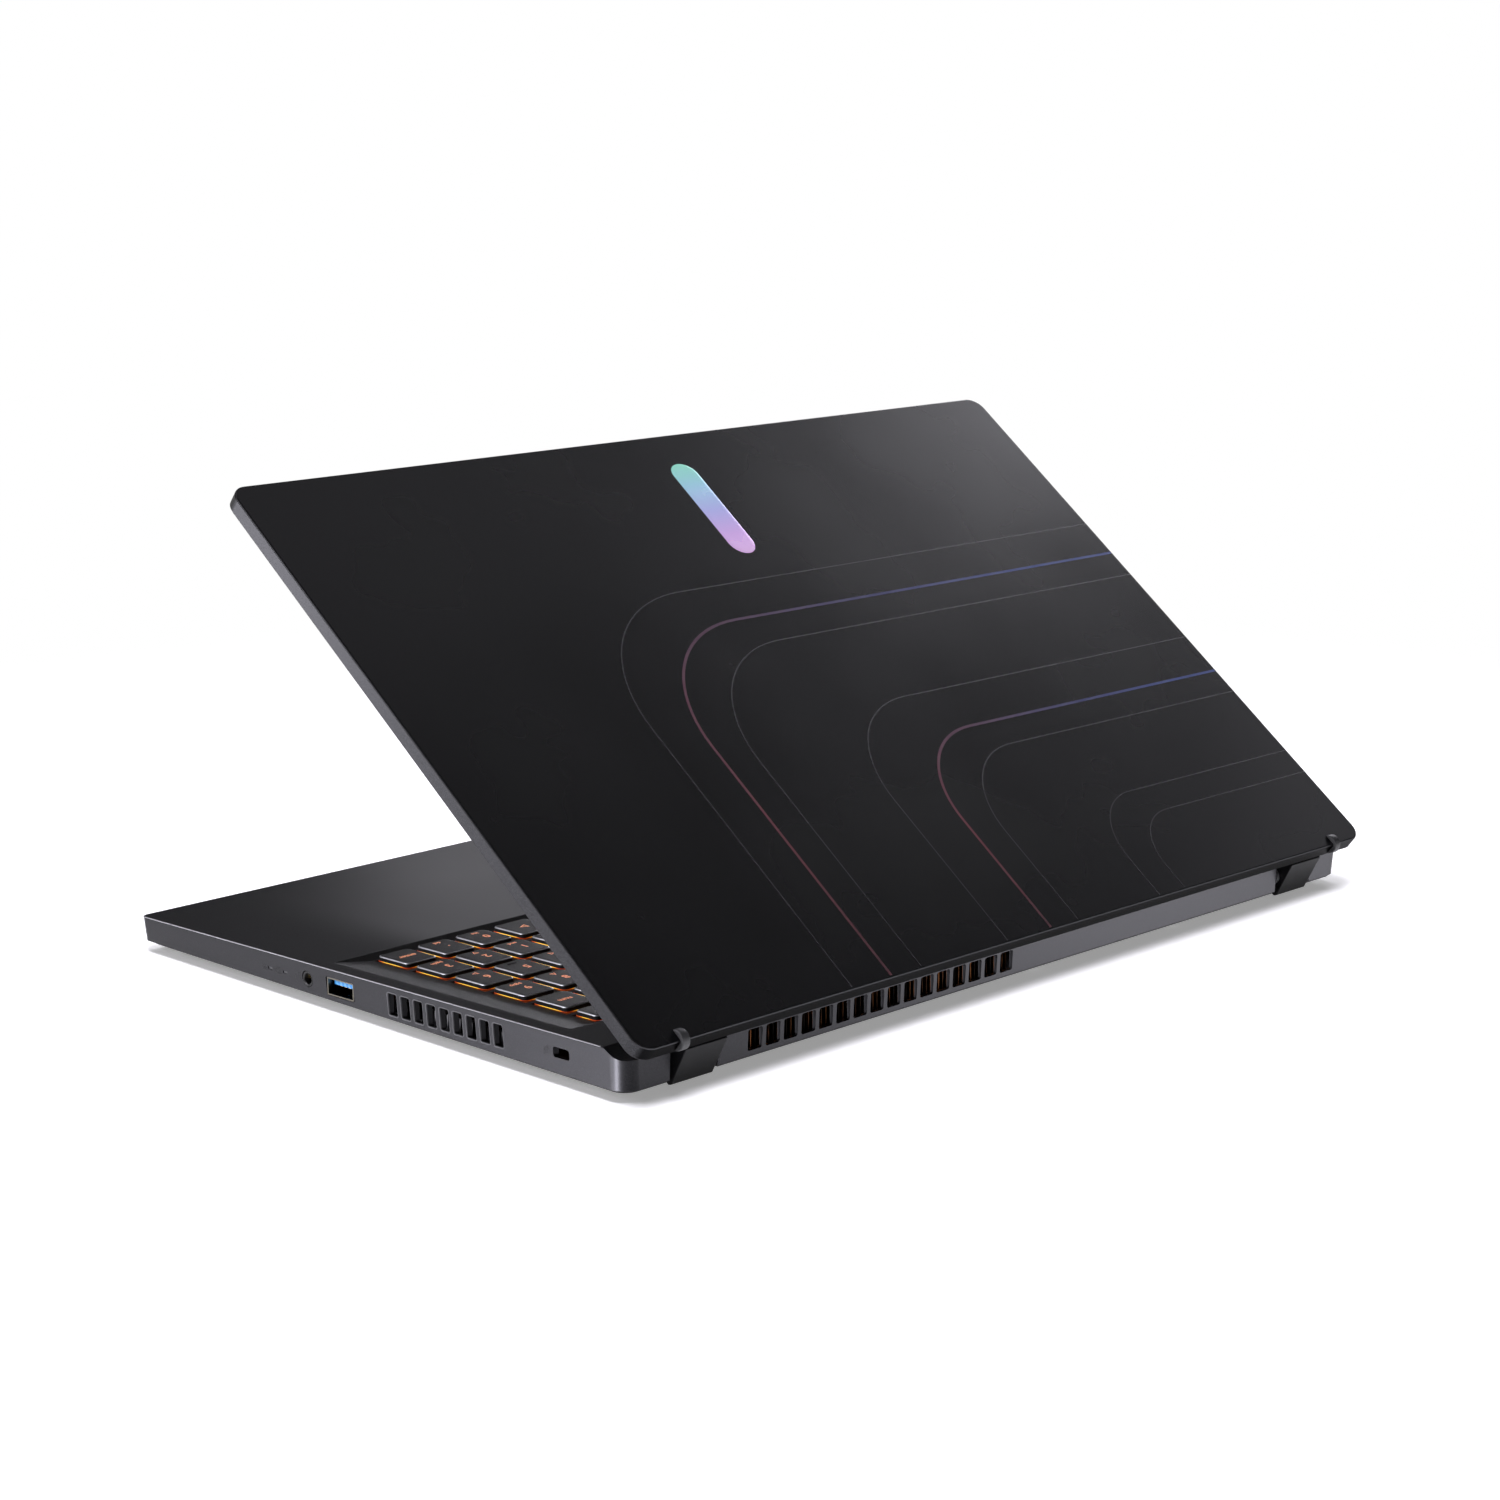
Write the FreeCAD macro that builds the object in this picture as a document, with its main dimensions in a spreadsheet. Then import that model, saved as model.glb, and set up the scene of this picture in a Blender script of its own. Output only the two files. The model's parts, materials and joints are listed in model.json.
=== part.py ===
import FreeCAD, Part
import Sketcher
import math
import os
from FreeCAD import Vector, Placement, Rotation

# Laptop computer, opened by about 39 degrees. Millimetres, +X the user's right,
# +Y the rear, +Z up. The base pieces are drawn in the deck frame (deck level,
# z = 0 at the rear bottom edge of the wall), the lid pieces in the same frame
# with the lid closed. Each piece's Placement then sets it in the part's frame.

doc = FreeCAD.newDocument("laptop_computer")
dims = doc.addObject("Spreadsheet::Sheet", "dims")

TABLE = [
    ("base_width", 362.3), ("base_depth", 239.86), ("deck_level", 13.0),
    ("wall_draft", 4.0), ("wall_thick", 1.85), ("deck_thick", 1.6),
    ("front_corner", 3.0), ("rear_corner", 6.0), ("deck_slope", 1.116),
    ("wall_gap", 4.0), ("shift_rear", -4.811),
    ("lid_width", 363.8), ("lid_length", 238.24), ("lid_top", 20.2), ("lid_rear", 119.9),
    ("lid_rim", 4.95), ("lid_skin", 1.3), ("lid_wall", 1.5), ("lid_corner", 6.0),
    ("bezel_thick", 0.9), ("bezel_inset", 0.8), ("lid_angle", 38.8),
    ("screen_width", 344.2), ("screen_height", 193.6), ("chin", 34.6),
    ("panel_thick", 2.7),
    ("pivot_rear", 116.64), ("pivot_up", 5.39), ("pin_radius", 2.0), ("pin_play", 0.05),
    ("hinge_center", 151.5), ("notch_width", 21.0), ("notch_front", 107.0),
    ("cover_inner", 143.15), ("cover_outer", 160.7), ("cover_wall", 1.2),
    ("ear_inner", 141.35), ("ear_thick", 1.4), ("ear_radius", 3.25),
    ("knuckle_radius", 3.4),
    ("key_pitch", 18.25), ("row_pitch", 18.9), ("row_first", -11.2), ("pad_pitch", 16.2),
    ("pad_first", 121.0), ("key_gap", 3.0), ("key_depth", 16.0), ("cap_bottom", 10.9),
    ("cap_height", 1.9), ("cap_taper", -12.0), ("key_play", 0.5), ("func_row", 80.6),
    ("func_depth", 10.5), ("key_left", -161.6),
    ("tray_level", 11.0), ("tray_under", 10.3), ("tray_half", 175.6),
    ("tray_front", -22.4), ("tray_rear", 90.8),
    ("pad_width", 110.0), ("pad_depth", 76.0), ("pad_x", -28.0), ("pad_y", -68.0),
    ("vent_side_width", 4.45), ("vent_side_height", 7.45), ("vent_side_pitch", 6.25),
    ("vent_side_count", 9), ("vent_side_first", 14.2), ("vent_side_up", 7.05),
    ("vent_rear_width", 6.2), ("vent_rear_height", 6.8), ("vent_rear_pitch", 7.83),
    ("vent_rear_count", 16), ("vent_rear_first", 126.15), ("vent_rear_up", 4.95),
    ("usb_open_width", 13.9), ("usb_open_height", 6.2), ("usb_y", -12.0), ("usb_z", 7.2),
    ("jack_y", -28.6), ("jack_z", 7.6), ("jack_ring", 2.75), ("jack_bore", 1.8),
    ("led_front", -48.15), ("led_rear", -40.24), ("led_width", 2.2), ("led_height", 0.9),
    ("lock_y", 92.45), ("lock_z", 7.1), ("lock_width", 7.2), ("lock_height", 3.3),
    ("cover_plate", 1.5), ("foot_height", 2.5), ("screw_radius", 1.0),
    ("fan_size", 58.0), ("fan_thick", 4.8), ("fan_radius", 25.5), ("rotor_radius", 24.0),
    ("hub_radius", 10.0), ("axle_radius", 1.5), ("axle_play", 0.05), ("blade_count", 23),
    ("fin_thick", 0.4), ("fin_pitch", 1.96), ("fin_count_rear", 64), ("fin_count_side", 30),
    ("board_thick", 1.2), ("battery_thick", 5.0),
    ("inlay_width", 12.0), ("inlay_length", 46.0), ("inlay_depth", 0.5),
    ("bumper_radius", 3.3), ("bumper_set", 1.5), ("bumper_width", 3.0), ("bumper_x", 164.8),
]
for i, (alias, value) in enumerate(TABLE, start=1):
    dims.set("A%d" % i, alias)
    dims.set("B%d" % i, str(value))
    dims.setAlias("B%d" % i, alias)
doc.recompute()


class Q:
    """A size: its number and the sheet expression that gives it."""

    def __init__(self, v, e):
        self.v, self.e = float(v), e

    def _op(self, o, sign, flip=False):
        ov, oe = (o.v, o.e) if isinstance(o, Q) else (float(o), repr(float(o)))
        a, b, ea, eb = (ov, self.v, oe, self.e) if flip else (self.v, ov, self.e, oe)
        v = {"+": a + b, "-": a - b, "*": a * b, "/": a / b if b else 0.0}[sign]
        return Q(v, "(%s %s %s)" % (ea, sign, eb))

    def __add__(self, o): return self._op(o, "+")
    def __radd__(self, o): return self._op(o, "+", True)
    def __sub__(self, o): return self._op(o, "-")
    def __rsub__(self, o): return self._op(o, "-", True)
    def __mul__(self, o): return self._op(o, "*")
    def __rmul__(self, o): return self._op(o, "*", True)
    def __truediv__(self, o): return self._op(o, "/")
    def __neg__(self): return Q(-self.v, "(0 - %s)" % self.e)


S = {alias: Q(value, "dims." + alias) for alias, value in TABLE}


def num(q):
    return q.v if isinstance(q, Q) else float(q)


def bind(obj, prop, q):
    """Set a size and tie it to the sheet."""
    if "." not in prop:
        setattr(obj, prop, num(q))
    if isinstance(q, Q):
        obj.setExpression(prop, q.e)


# ---------------------------------------------------------------- frames
alpha = num(S["deck_slope"])
sin_a, cos_a = math.sin(math.radians(alpha)), math.cos(math.radians(alpha))
lift = num(S["wall_gap"]) - sin_a * num(S["base_depth"]) / 2.0
DECK = Placement(Vector(0, num(S["shift_rear"]), lift), Rotation(Vector(1, 0, 0), alpha))
pivot = Vector(0, num(S["pivot_rear"]), num(S["pivot_up"]))
LID = DECK.multiply(Placement(Vector(0, 0, 0), Rotation(Vector(1, 0, 0), -num(S["lid_angle"])), pivot))
FLOOR = Placement(Vector(0, num(S["shift_rear"]), 0), Rotation())
NODES = {}


def node(name, obj, frame):
    """Give a finished piece its name and set it in the part's frame."""
    obj.Label = name
    NODES[name] = (obj, frame)
    return obj


# ---------------------------------------------------------------- helpers
def body(name):
    b = doc.addObject("PartDesign::Body", name)
    b.Label = name
    if hasattr(b, "AllowCompound"):
        b.AllowCompound = True
    return b


def plane(b, role):
    for f in b.Origin.OriginFeatures:
        if f.Role == role:
            return f
    raise RuntimeError(role)


def sketch(b, name, role="XY_Plane", x=0.0, y=0.0, z=0.0):
    s = b.newObject("Sketcher::SketchObject", name)
    s.AttachmentSupport = [(plane(b, role), "")]
    s.MapMode = "FlatFace"
    s.AttachmentOffset = Placement(Vector(num(x), num(y), num(z)), Rotation())
    for axis, q in (("x", x), ("y", y), ("z", z)):
        if isinstance(q, Q):
            s.setExpression("AttachmentOffset.Base." + axis, q.e)
    return s


def tie(s, rules):
    """Add the rules in one go and tie those with a sheet size to it."""
    made = s.addConstraint([r for r, q in rules])
    for n, (r, q) in zip(made, rules):
        if isinstance(q, Q):
            s.setExpression("Constraints[%d]" % n, q.e)


def rects(s, items):
    """Rectangles (w, d, cx, cy), their sides and places tied to the sheet."""
    i = s.GeometryCount
    lines, rules = [], []
    for w, d, cx, cy in items:
        hw, hd, x, y = num(w) / 2.0, num(d) / 2.0, num(cx), num(cy)
        c = [Vector(x - hw, y - hd, 0), Vector(x + hw, y - hd, 0), Vector(x + hw, y + hd, 0), Vector(x - hw, y + hd, 0)]
        lines += [Part.LineSegment(c[k], c[(k + 1) % 4]) for k in range(4)]
        rules += [(Sketcher.Constraint("Coincident", i + k, 2, i + (k + 1) % 4, 1), None) for k in range(4)]
        rules += [(Sketcher.Constraint("Horizontal", i), None), (Sketcher.Constraint("Horizontal", i + 2), None),
                  (Sketcher.Constraint("Vertical", i + 1), None), (Sketcher.Constraint("Vertical", i + 3), None)]
        left = cx - w / 2.0 if isinstance(cx, Q) or isinstance(w, Q) else x - hw
        near = cy - d / 2.0 if isinstance(cy, Q) or isinstance(d, Q) else y - hd
        rules += [(Sketcher.Constraint("DistanceX", i, 1, i, 2, 2 * hw), w),
                  (Sketcher.Constraint("DistanceY", i + 1, 1, i + 1, 2, 2 * hd), d),
                  (Sketcher.Constraint("DistanceX", -1, 1, i, 1, num(left)), left),
                  (Sketcher.Constraint("DistanceY", -1, 1, i, 1, num(near)), near)]
        i += 4
    s.addGeometry(lines, False)
    tie(s, rules)


def rect(s, w, d, cx=0.0, cy=0.0):
    rects(s, [(w, d, cx, cy)])


def circles(s, items):
    """Circles (r, cx, cy), tied to the sheet."""
    i = s.GeometryCount
    s.addGeometry([Part.Circle(Vector(num(cx), num(cy), 0), Vector(0, 0, 1), num(r)) for r, cx, cy in items], False)
    rules = []
    for k, (r, cx, cy) in enumerate(items):
        rules += [(Sketcher.Constraint("Radius", i + k, num(r)), r),
                  (Sketcher.Constraint("DistanceX", -1, 1, i + k, 3, num(cx)), cx),
                  (Sketcher.Constraint("DistanceY", -1, 1, i + k, 3, num(cy)), cy)]
    tie(s, rules)


def circle(s, r, cx=0.0, cy=0.0):
    circles(s, [(r, cx, cy)])


def loop(s, points):
    """Closed outline through the points."""
    first, n = s.GeometryCount, len(points)
    pts = [Vector(num(p[0]), num(p[1]), 0) for p in points]
    s.addGeometry([Part.LineSegment(pts[k], pts[(k + 1) % n]) for k in range(n)], False)
    rules = [(Sketcher.Constraint("Coincident", first + k, 2, first + (k + 1) % n, 1), None) for k in range(n)]
    for k, (x, y) in enumerate(points):
        rules += [(Sketcher.Constraint("DistanceX", -1, 1, first + k, 1, num(x)), x),
                  (Sketcher.Constraint("DistanceY", -1, 1, first + k, 1, num(y)), y)]
    tie(s, rules)


def windows(s, items):
    """Many plain rectangles (w, d, cx, cy)."""
    lines = []
    for w, d, x, y in items:
        c = [Vector(x - w / 2, y - d / 2, 0), Vector(x + w / 2, y - d / 2, 0), Vector(x + w / 2, y + d / 2, 0), Vector(x - w / 2, y + d / 2, 0)]
        lines += [Part.LineSegment(c[k], c[(k + 1) % 4]) for k in range(4)]
    s.addGeometry(lines, False)


def pad(b, name, s, length, reverse=False, mid=False, taper=None):
    f = b.newObject("PartDesign::Pad", name)
    f.Profile = s
    bind(f, "Length", length)
    f.Reversed = reverse
    if mid:
        f.Midplane = True
    if taper is not None:
        bind(f, "TaperAngle", taper)
    b.Tip = f
    doc.recompute()
    return f


def pocket(b, name, s, length, reverse=False, mid=False):
    before = b.Shape.Volume
    f = b.newObject("PartDesign::Pocket", name)
    f.Profile = s
    bind(f, "Length", length)
    f.Reversed = reverse
    if mid:
        f.Midplane = True
    b.Tip = f
    doc.recompute()
    if not b.Shape.Volume < before - 1e-6:
        raise RuntimeError("%s cuts nothing" % name)
    return f


def linear(b, name, feature, s, axis, length, count, reverse=False):
    f = b.newObject("PartDesign::LinearPattern", name)
    f.Originals = [feature]
    f.Direction = (s, [axis])
    f.Reversed = reverse
    bind(f, "Length", length)
    f.Occurrences = int(num(count))
    if isinstance(count, Q):
        f.setExpression("Occurrences", count.e)
    b.Tip = f
    doc.recompute()
    return f


def fillet(b, name, feature, test, radius):
    edges = ["Edge%d" % (i + 1) for i, e in enumerate(feature.Shape.Edges) if test(e)]
    if not edges:
        raise RuntimeError("%s has no edge" % name)
    f = b.newObject("PartDesign::Fillet", name)
    f.Base = (feature, edges)
    bind(f, "Radius", radius)
    b.Tip = f
    doc.recompute()
    return f


def box(name, w, d, h, x, y, z):
    """Box centred on x and y with its foot at z."""
    o = doc.addObject("Part::Box", name)
    bind(o, "Length", w)
    bind(o, "Width", d)
    bind(o, "Height", h)
    o.Placement = Placement(Vector(num(x) - num(w) / 2.0, num(y) - num(d) / 2.0, num(z)), Rotation())
    return o


def rod(name, r, h, x, y, z, axis="z"):
    """Cylinder whose foot is at the point, along an axis."""
    o = doc.addObject("Part::Cylinder", name)
    bind(o, "Radius", r)
    bind(o, "Height", h)
    turn = {"z": Rotation(), "x": Rotation(Vector(0, 1, 0), 90), "y": Rotation(Vector(1, 0, 0), -90)}[axis]
    o.Placement = Placement(Vector(num(x), num(y), num(z)), turn)
    return o


def fuse(name, parts):
    o = doc.addObject("Part::MultiFuse", name)
    o.Shapes = parts
    return o


def cut(name, base, tools):
    o = doc.addObject("Part::Cut", name)
    o.Base = base
    o.Tool = tools[0] if len(tools) == 1 else fuse(name + "_tools", tools)
    return o


def group(name, parts):
    o = doc.addObject("Part::Compound", name)
    o.Links = parts
    return o


def upright(e, lean=0.3):
    """True for an edge that runs mostly along Z."""
    a, b = e.Vertexes[0].Point, e.Vertexes[-1].Point
    d = b.sub(a)
    return d.Length > 0.5 and abs(d.z) / d.Length > 1.0 - lean


def soften(b, name, axis, corners, radius):
    """Round the short edges that run along an axis through the given corner points of openings."""
    def at(e):
        a, c = e.Vertexes[0].Point, e.Vertexes[-1].Point
        d = c.sub(a)
        if d.Length < 0.3 or d.Length > 6.0 or abs(d[axis]) / d.Length < 0.99:
            return False
        m = e.CenterOfMass
        p, q = (m.y, m.z) if axis == 0 else (m.x, m.z)
        return any(abs(p - u) < 0.03 and abs(q - w) < 0.03 for u, w in corners)
    return fillet(b, name, b.Tip, at, radius)


def corners(w, h, u, z):
    w, h, u, z = num(w) / 2.0, num(h) / 2.0, num(u), num(z)
    return [(u + i * w, z + j * h) for i in (1, -1) for j in (1, -1)]


HW, HD = num(S["base_width"]) / 2.0, num(S["base_depth"]) / 2.0
WT = num(S["wall_thick"])
HC, NW = num(S["hinge_center"]), num(S["notch_width"])
PY, PZ = num(S["pivot_rear"]), num(S["pivot_up"])
CEIL = S["deck_level"] - S["deck_thick"]
TAN = math.tan(math.radians(alpha))
BOSSES = [(172, -110), (-172, -110), (172, -66), (-172, -66), (172, 98), (-172, 98), (-14, 112), (-90, 112), (0, -113)]

# ---------------------------------------------------------------- top case
b = body("top_case")
drop = num(S["deck_level"]) + 1.0
shrink = 2.0 * drop * math.tan(math.radians(num(S["wall_draft"])))
s = sketch(b, "case_outline", z=-1.0)
rect(s, S["base_width"] - shrink, S["base_depth"] - shrink)
f = pad(b, "case_block", s, S["deck_level"] + 1.0, taper=S["wall_draft"])
if abs(f.Shape.BoundBox.XLength - num(S["base_width"])) > 0.2:
    raise RuntimeError("case draft goes the wrong way")
f = fillet(b, "case_front_corners", f, lambda e: upright(e) and e.CenterOfMass.y < 0, S["front_corner"])
f = fillet(b, "case_rear_corners", f, lambda e: upright(e) and e.CenterOfMass.y > 100, S["rear_corner"])
deck = num(S["deck_level"])
f = fillet(b, "case_top_edge", f, lambda e: abs(e.BoundBox.ZMin - deck) < 1e-4 and abs(e.BoundBox.ZMax - deck) < 1e-4, 0.4)
# inner space, kept clear of the hinge notches
xi, yi, yf = HW - WT - 0.9, HD - WT, -(HD - WT - 0.9)
n0, n1, ny = num(S["ear_inner"]) + num(S["ear_thick"]) + 0.3, HC + NW / 2.0 + 1.5, num(S["notch_front"]) - 1.5
yr = 111.0
outline = [(-xi, yf), (xi, yf), (xi, yr), (n1, yr), (n1, ny), (n0, ny), (n0, yr), (-n0, yr), (-n0, ny), (-n1, ny),
           (-n1, yr), (-xi, yr)]
s = sketch(b, "case_inside", z=CEIL)
loop(s, outline)
pocket(b, "case_hollow", s, CEIL + 2.0)
# lower ceiling behind, under the rounded rear edge
s = sketch(b, "case_rear_inside", z=8.9)
loop(s, [(-n0, yr - 0.5), (n0, yr - 0.5), (n0, yi), (-n0, yi)])
pocket(b, "case_rear_hollow", s, 12.0)
for side in (1, -1):
    s = sketch(b, "case_corner_inside_%d" % (side > 0), z=8.9)
    loop(s, [(side * n1, yr - 0.5), (side * xi, yr - 0.5), (side * xi, yi - 4), (side * (xi - 4), yi), (side * n1, yi)])
    pocket(b, "case_corner_hollow_%d" % (side > 0), s, 12.0)
s = sketch(b, "case_boss_circles", z=-0.9)
circles(s, [(2.6, x, y) for x, y in BOSSES])
pad(b, "case_bosses", s, CEIL + 0.9)
s = sketch(b, "case_foot_line", role="YZ_Plane")
loop(s, [(-HD - 6, -6), (HD + 6, -6), (HD + 6, -6 * TAN), (-HD - 6, (2 * HD + 6) * TAN)])
pocket(b, "case_foot", s, 400, mid=True)
s = sketch(b, "case_rear_drop", role="YZ_Plane")
arc = [(111.0, 13.0), (112.2, 12.28), (113.4, 11.56), (114.5, 10.9), (115.4, 10.42), (116.3, 10.05), (117.2, 9.8), (118.4, 9.64), (HD + 0.02, 9.6)]
loop(s, [(111.0, 14.0)] + arc + [(HD + 2, 9.0), (HD + 2, 14.0)])
pocket(b, "case_rear_relief", s, 400, mid=True)
s = sketch(b, "case_notch_outline", z=-3.0)
for side in (1, -1):
    rect(s, S["notch_width"], HD + 5.0 - S["notch_front"], side * S["hinge_center"], (HD + 5.0 + S["notch_front"]) / 2.0)
pocket(b, "case_notches", s, 20, reverse=True)
s = sketch(b, "case_tray_outline", z=20)
rect(s, S["tray_half"] * 2.0, S["tray_rear"] - S["tray_front"], 0.0, (S["tray_rear"] + S["tray_front"]) / 2.0)
pocket(b, "case_tray_opening", s, 10.5)
s = sketch(b, "case_touchpad_outline", z=20)
rect(s, S["pad_width"] + 0.8, S["pad_depth"] + 0.8, S["pad_x"], S["pad_y"])
pocket(b, "case_touchpad_opening", s, 10.5)
# user's right wall: data port, headset jack, lights, lock slot
s = sketch(b, "case_right_ports", role="YZ_Plane", z=174.5)
rect(s, S["usb_open_width"], S["usb_open_height"], S["usb_y"], S["usb_z"])
circle(s, S["jack_ring"], S["jack_y"], S["jack_z"])
rect(s, S["led_width"], S["led_height"], S["led_front"], S["jack_z"])
rect(s, S["led_width"], S["led_height"], S["led_rear"], S["jack_z"])
rect(s, S["lock_width"], S["lock_height"], S["lock_y"], S["lock_z"])
pocket(b, "case_right_openings", s, 12, reverse=True)
soften(b, "case_port_corners", 0, corners(S["usb_open_width"], S["usb_open_height"], S["usb_y"], S["usb_z"]), 0.5)
soften(b, "case_lock_corners", 0, corners(S["lock_width"], S["lock_height"], S["lock_y"], S["lock_z"]), 0.9)
s = sketch(b, "case_side_vent", role="YZ_Plane", z=174.5)
rect(s, S["vent_side_width"], S["vent_side_height"], S["vent_side_first"], S["vent_side_up"])
f = pocket(b, "case_side_vent_slot", s, 12, reverse=True)
linear(b, "case_side_vents", f, s, "H_Axis", S["vent_side_pitch"] * (S["vent_side_count"] - 1.0), S["vent_side_count"])
soften(b, "case_side_vent_corners", 0,
       [c for k in range(int(num(S["vent_side_count"]))) for c in corners(S["vent_side_width"], S["vent_side_height"],
        S["vent_side_first"] + S["vent_side_pitch"] * k, S["vent_side_up"])], 0.7)
# user's left wall
LEFT = [("ethernet", 58.0, 6.1, 12.0, 7.4), ("hdmi", 34.0, 6.6, 14.8, 5.4), ("usb1", 11.0, 7.2, 13.9, 6.2),
        ("usb2", -9.0, 7.2, 13.9, 6.2), ("typec", -27.5, 7.2, 9.3, 3.5)]
s = sketch(b, "case_left_ports", role="YZ_Plane", z=-174.5)
for key, y, z, w, h in LEFT:
    if key == "hdmi":
        loop(s, [(y - w / 2, z + h / 2), (y - w / 2, z - 0.7), (y - w / 2 + 1.8, z - h / 2), (y + w / 2 - 1.8, z - h / 2),
                 (y + w / 2, z - 0.7), (y + w / 2, z + h / 2)])
    else:
        rect(s, w, h, y, z)
circle(s, 3.6, 82.0, 6.2)
pocket(b, "case_left_openings", s, 12)
soften(b, "case_left_corners", 0, [c for key, y, z, w, h in LEFT if key not in ("typec", "hdmi") for c in corners(w, h, y, z)], 0.5)
soften(b, "case_left_round_ends", 0, [c for key, y, z, w, h in LEFT if key == "typec" for c in corners(w, h, y, z)], 1.7)
s = sketch(b, "case_rear_vent", role="XZ_Plane", z=-112.0)
rect(s, S["vent_rear_width"], S["vent_rear_height"], S["vent_rear_first"], S["vent_rear_up"])
f = pocket(b, "case_rear_vent_slot", s, 14)
linear(b, "case_rear_vents", f, s, "H_Axis", S["vent_rear_pitch"] * (S["vent_rear_count"] - 1.0),
       S["vent_rear_count"], reverse=True)
soften(b, "case_rear_vent_corners", 1,
       [c for k in range(int(num(S["vent_rear_count"]))) for c in corners(S["vent_rear_width"], S["vent_rear_height"],
        S["vent_rear_first"] - S["vent_rear_pitch"] * k, S["vent_rear_up"])], 0.8)
# threads for the bottom screws and the hinge brackets
s = sketch(b, "case_screw_circles", z=-1.0)
circles(s, [(S["screw_radius"], x, y) for x, y in BOSSES])
pocket(b, "case_screw_holes", s, 10.0, reverse=True)
HSCREWS = [(sd * x, y) for sd in (1, -1) for x, y in ((116.0, 98.5), (125.0, 98.5), (134.0, 98.5))]
s = sketch(b, "case_hinge_circles", z=8.0)
circles(s, [(0.9, x, y) for x, y in HSCREWS])
pocket(b, "case_hinge_holes", s, CEIL - 8.0 + 1.0, reverse=True)
node("top_case", b, DECK)

# ---------------------------------------------------------------- keys
U, ROW0, RP = num(S["key_pitch"]), num(S["row_first"]), num(S["row_pitch"])
ROWS = {
    "bottom_row_keys": (0, [(0, 1.25), (1.25, 1), (2.25, 1), (3.25, 1.25), (9.75, 1.25), (11.0, 1.0)]),
    "space_bar": (0, [(4.5, 5.25)]),
    "lower_row_keys": (1, [(0, 2.25)] + [(2.25 + k, 1) for k in range(10)] + [(12.25, 2.75)]),
    "home_row_keys": (2, [(0, 1.75)] + [(1.75 + k, 1) for k in range(11)] + [(12.75, 2.25)]),
    "upper_row_keys": (3, [(0, 1.5)] + [(1.5 + k, 1) for k in range(12)] + [(13.5, 1.5)]),
    "number_row_keys": (4, [(k, 1) for k in range(13)] + [(13, 2)]),
}
KEYS = {}
for name, (r, keys) in ROWS.items():
    KEYS[name] = [(S["key_left"] + S["key_pitch"] * (u0 + w / 2.0), S["row_first"] + S["row_pitch"] * r,
                   S["key_pitch"] * w - S["key_gap"], S["key_depth"]) for u0, w in keys]
half = (S["key_depth"] - 1.6) / 2.0
KEYS["arrow_keys"] = [
    (S["key_left"] + S["key_pitch"] * 12.5, S["row_first"], S["key_pitch"] - S["key_gap"], S["key_depth"]),
    (S["key_left"] + S["key_pitch"] * 13.5, S["row_first"] + S["key_depth"] / 4.0 + 0.4, S["key_pitch"] - S["key_gap"], half),
    (S["key_left"] + S["key_pitch"] * 13.5, S["row_first"] - S["key_depth"] / 4.0 - 0.4, S["key_pitch"] - S["key_gap"], half),
    (S["key_left"] + S["key_pitch"] * 14.5, S["row_first"], S["key_pitch"] - S["key_gap"], S["key_depth"])]
KEYS["function_row_keys"] = [(S["key_left"] + S["key_pitch"] * (k + 0.5), S["func_row"], S["key_pitch"] - S["key_gap"],
                              S["func_depth"]) for k in range(15)]
for c, name in enumerate(("numpad_left_keys", "numpad_middle_keys", "numpad_right_keys")):
    x = S["pad_first"] + S["pad_pitch"] * c
    KEYS[name] = [(x, S["row_first"] + S["row_pitch"] * r, S["pad_pitch"] - S["key_gap"], S["key_depth"]) for r in range(5)]
    if c < 2:
        KEYS[name].append((x, S["func_row"], S["pad_pitch"] - S["key_gap"], S["func_depth"]))
KEYS["power_button"] = [(S["pad_first"] + S["pad_pitch"] * 2.0, S["func_row"], S["pad_pitch"] - S["key_gap"], S["func_depth"])]

for name, keys in KEYS.items():
    b = body(name)
    s = sketch(b, name + "_outline", z=S["cap_bottom"])
    rects(s, [(w, d, x, y) for x, y, w, d in keys])
    pad(b, name + "_caps", s, S["cap_height"], taper=S["cap_taper"])
    if b.Shape.BoundBox.ZMax > 13.2 or len(b.Shape.Solids) != len(keys):
        raise RuntimeError(name)
    node(name, b, DECK)

# ---------------------------------------------------------------- keyboard surround, plate, light sheet
b = body("keyboard_surround")
s = sketch(b, "tray_outline", z=S["tray_under"])
rect(s, S["tray_half"] * 2.0, S["tray_rear"] - S["tray_front"], 0.0, (S["tray_rear"] + S["tray_front"]) / 2.0)
pad(b, "tray_block", s, S["deck_level"] - S["tray_under"])
top = sketch(b, "tray_mouth", z=S["deck_level"] + 0.02)
rect(top, S["tray_half"] * 2.0 - 1.0, S["tray_rear"] - S["tray_front"] - 0.8, 0.0, (S["tray_rear"] + S["tray_front"]) / 2.0)
low = sketch(b, "tray_floor", z=S["tray_level"])
rect(low, 322.4, 107.6, 0.0, 33.6)
before = b.Shape.Volume
f = b.newObject("PartDesign::SubtractiveLoft", "tray_slope")
f.Profile = top
f.Sections = [low]
f.Ruled = True
b.Tip = f
doc.recompute()
if not b.Shape.Volume < before - 1000:
    raise RuntimeError("tray slope cuts nothing")
s = sketch(b, "tray_key_outlines", z=20)
play = 2.0 * num(S["key_play"])
windows(s, [(num(w) + play, num(d) + play, num(x), num(y)) for keys in KEYS.values() for x, y, w, d in keys])
pocket(b, "tray_key_openings", s, 10.5)
node("keyboard_surround", b, DECK)

node("keyboard_plate", box("keyboard_plate_box", 326.0, 109.0, 0.7, 0, 33.6, 8.5), DECK)
node("keyboard_backlight", box("keyboard_backlight_box", 324.0, 107.0, 0.5, 0, 33.6, 8.0), DECK)

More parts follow.
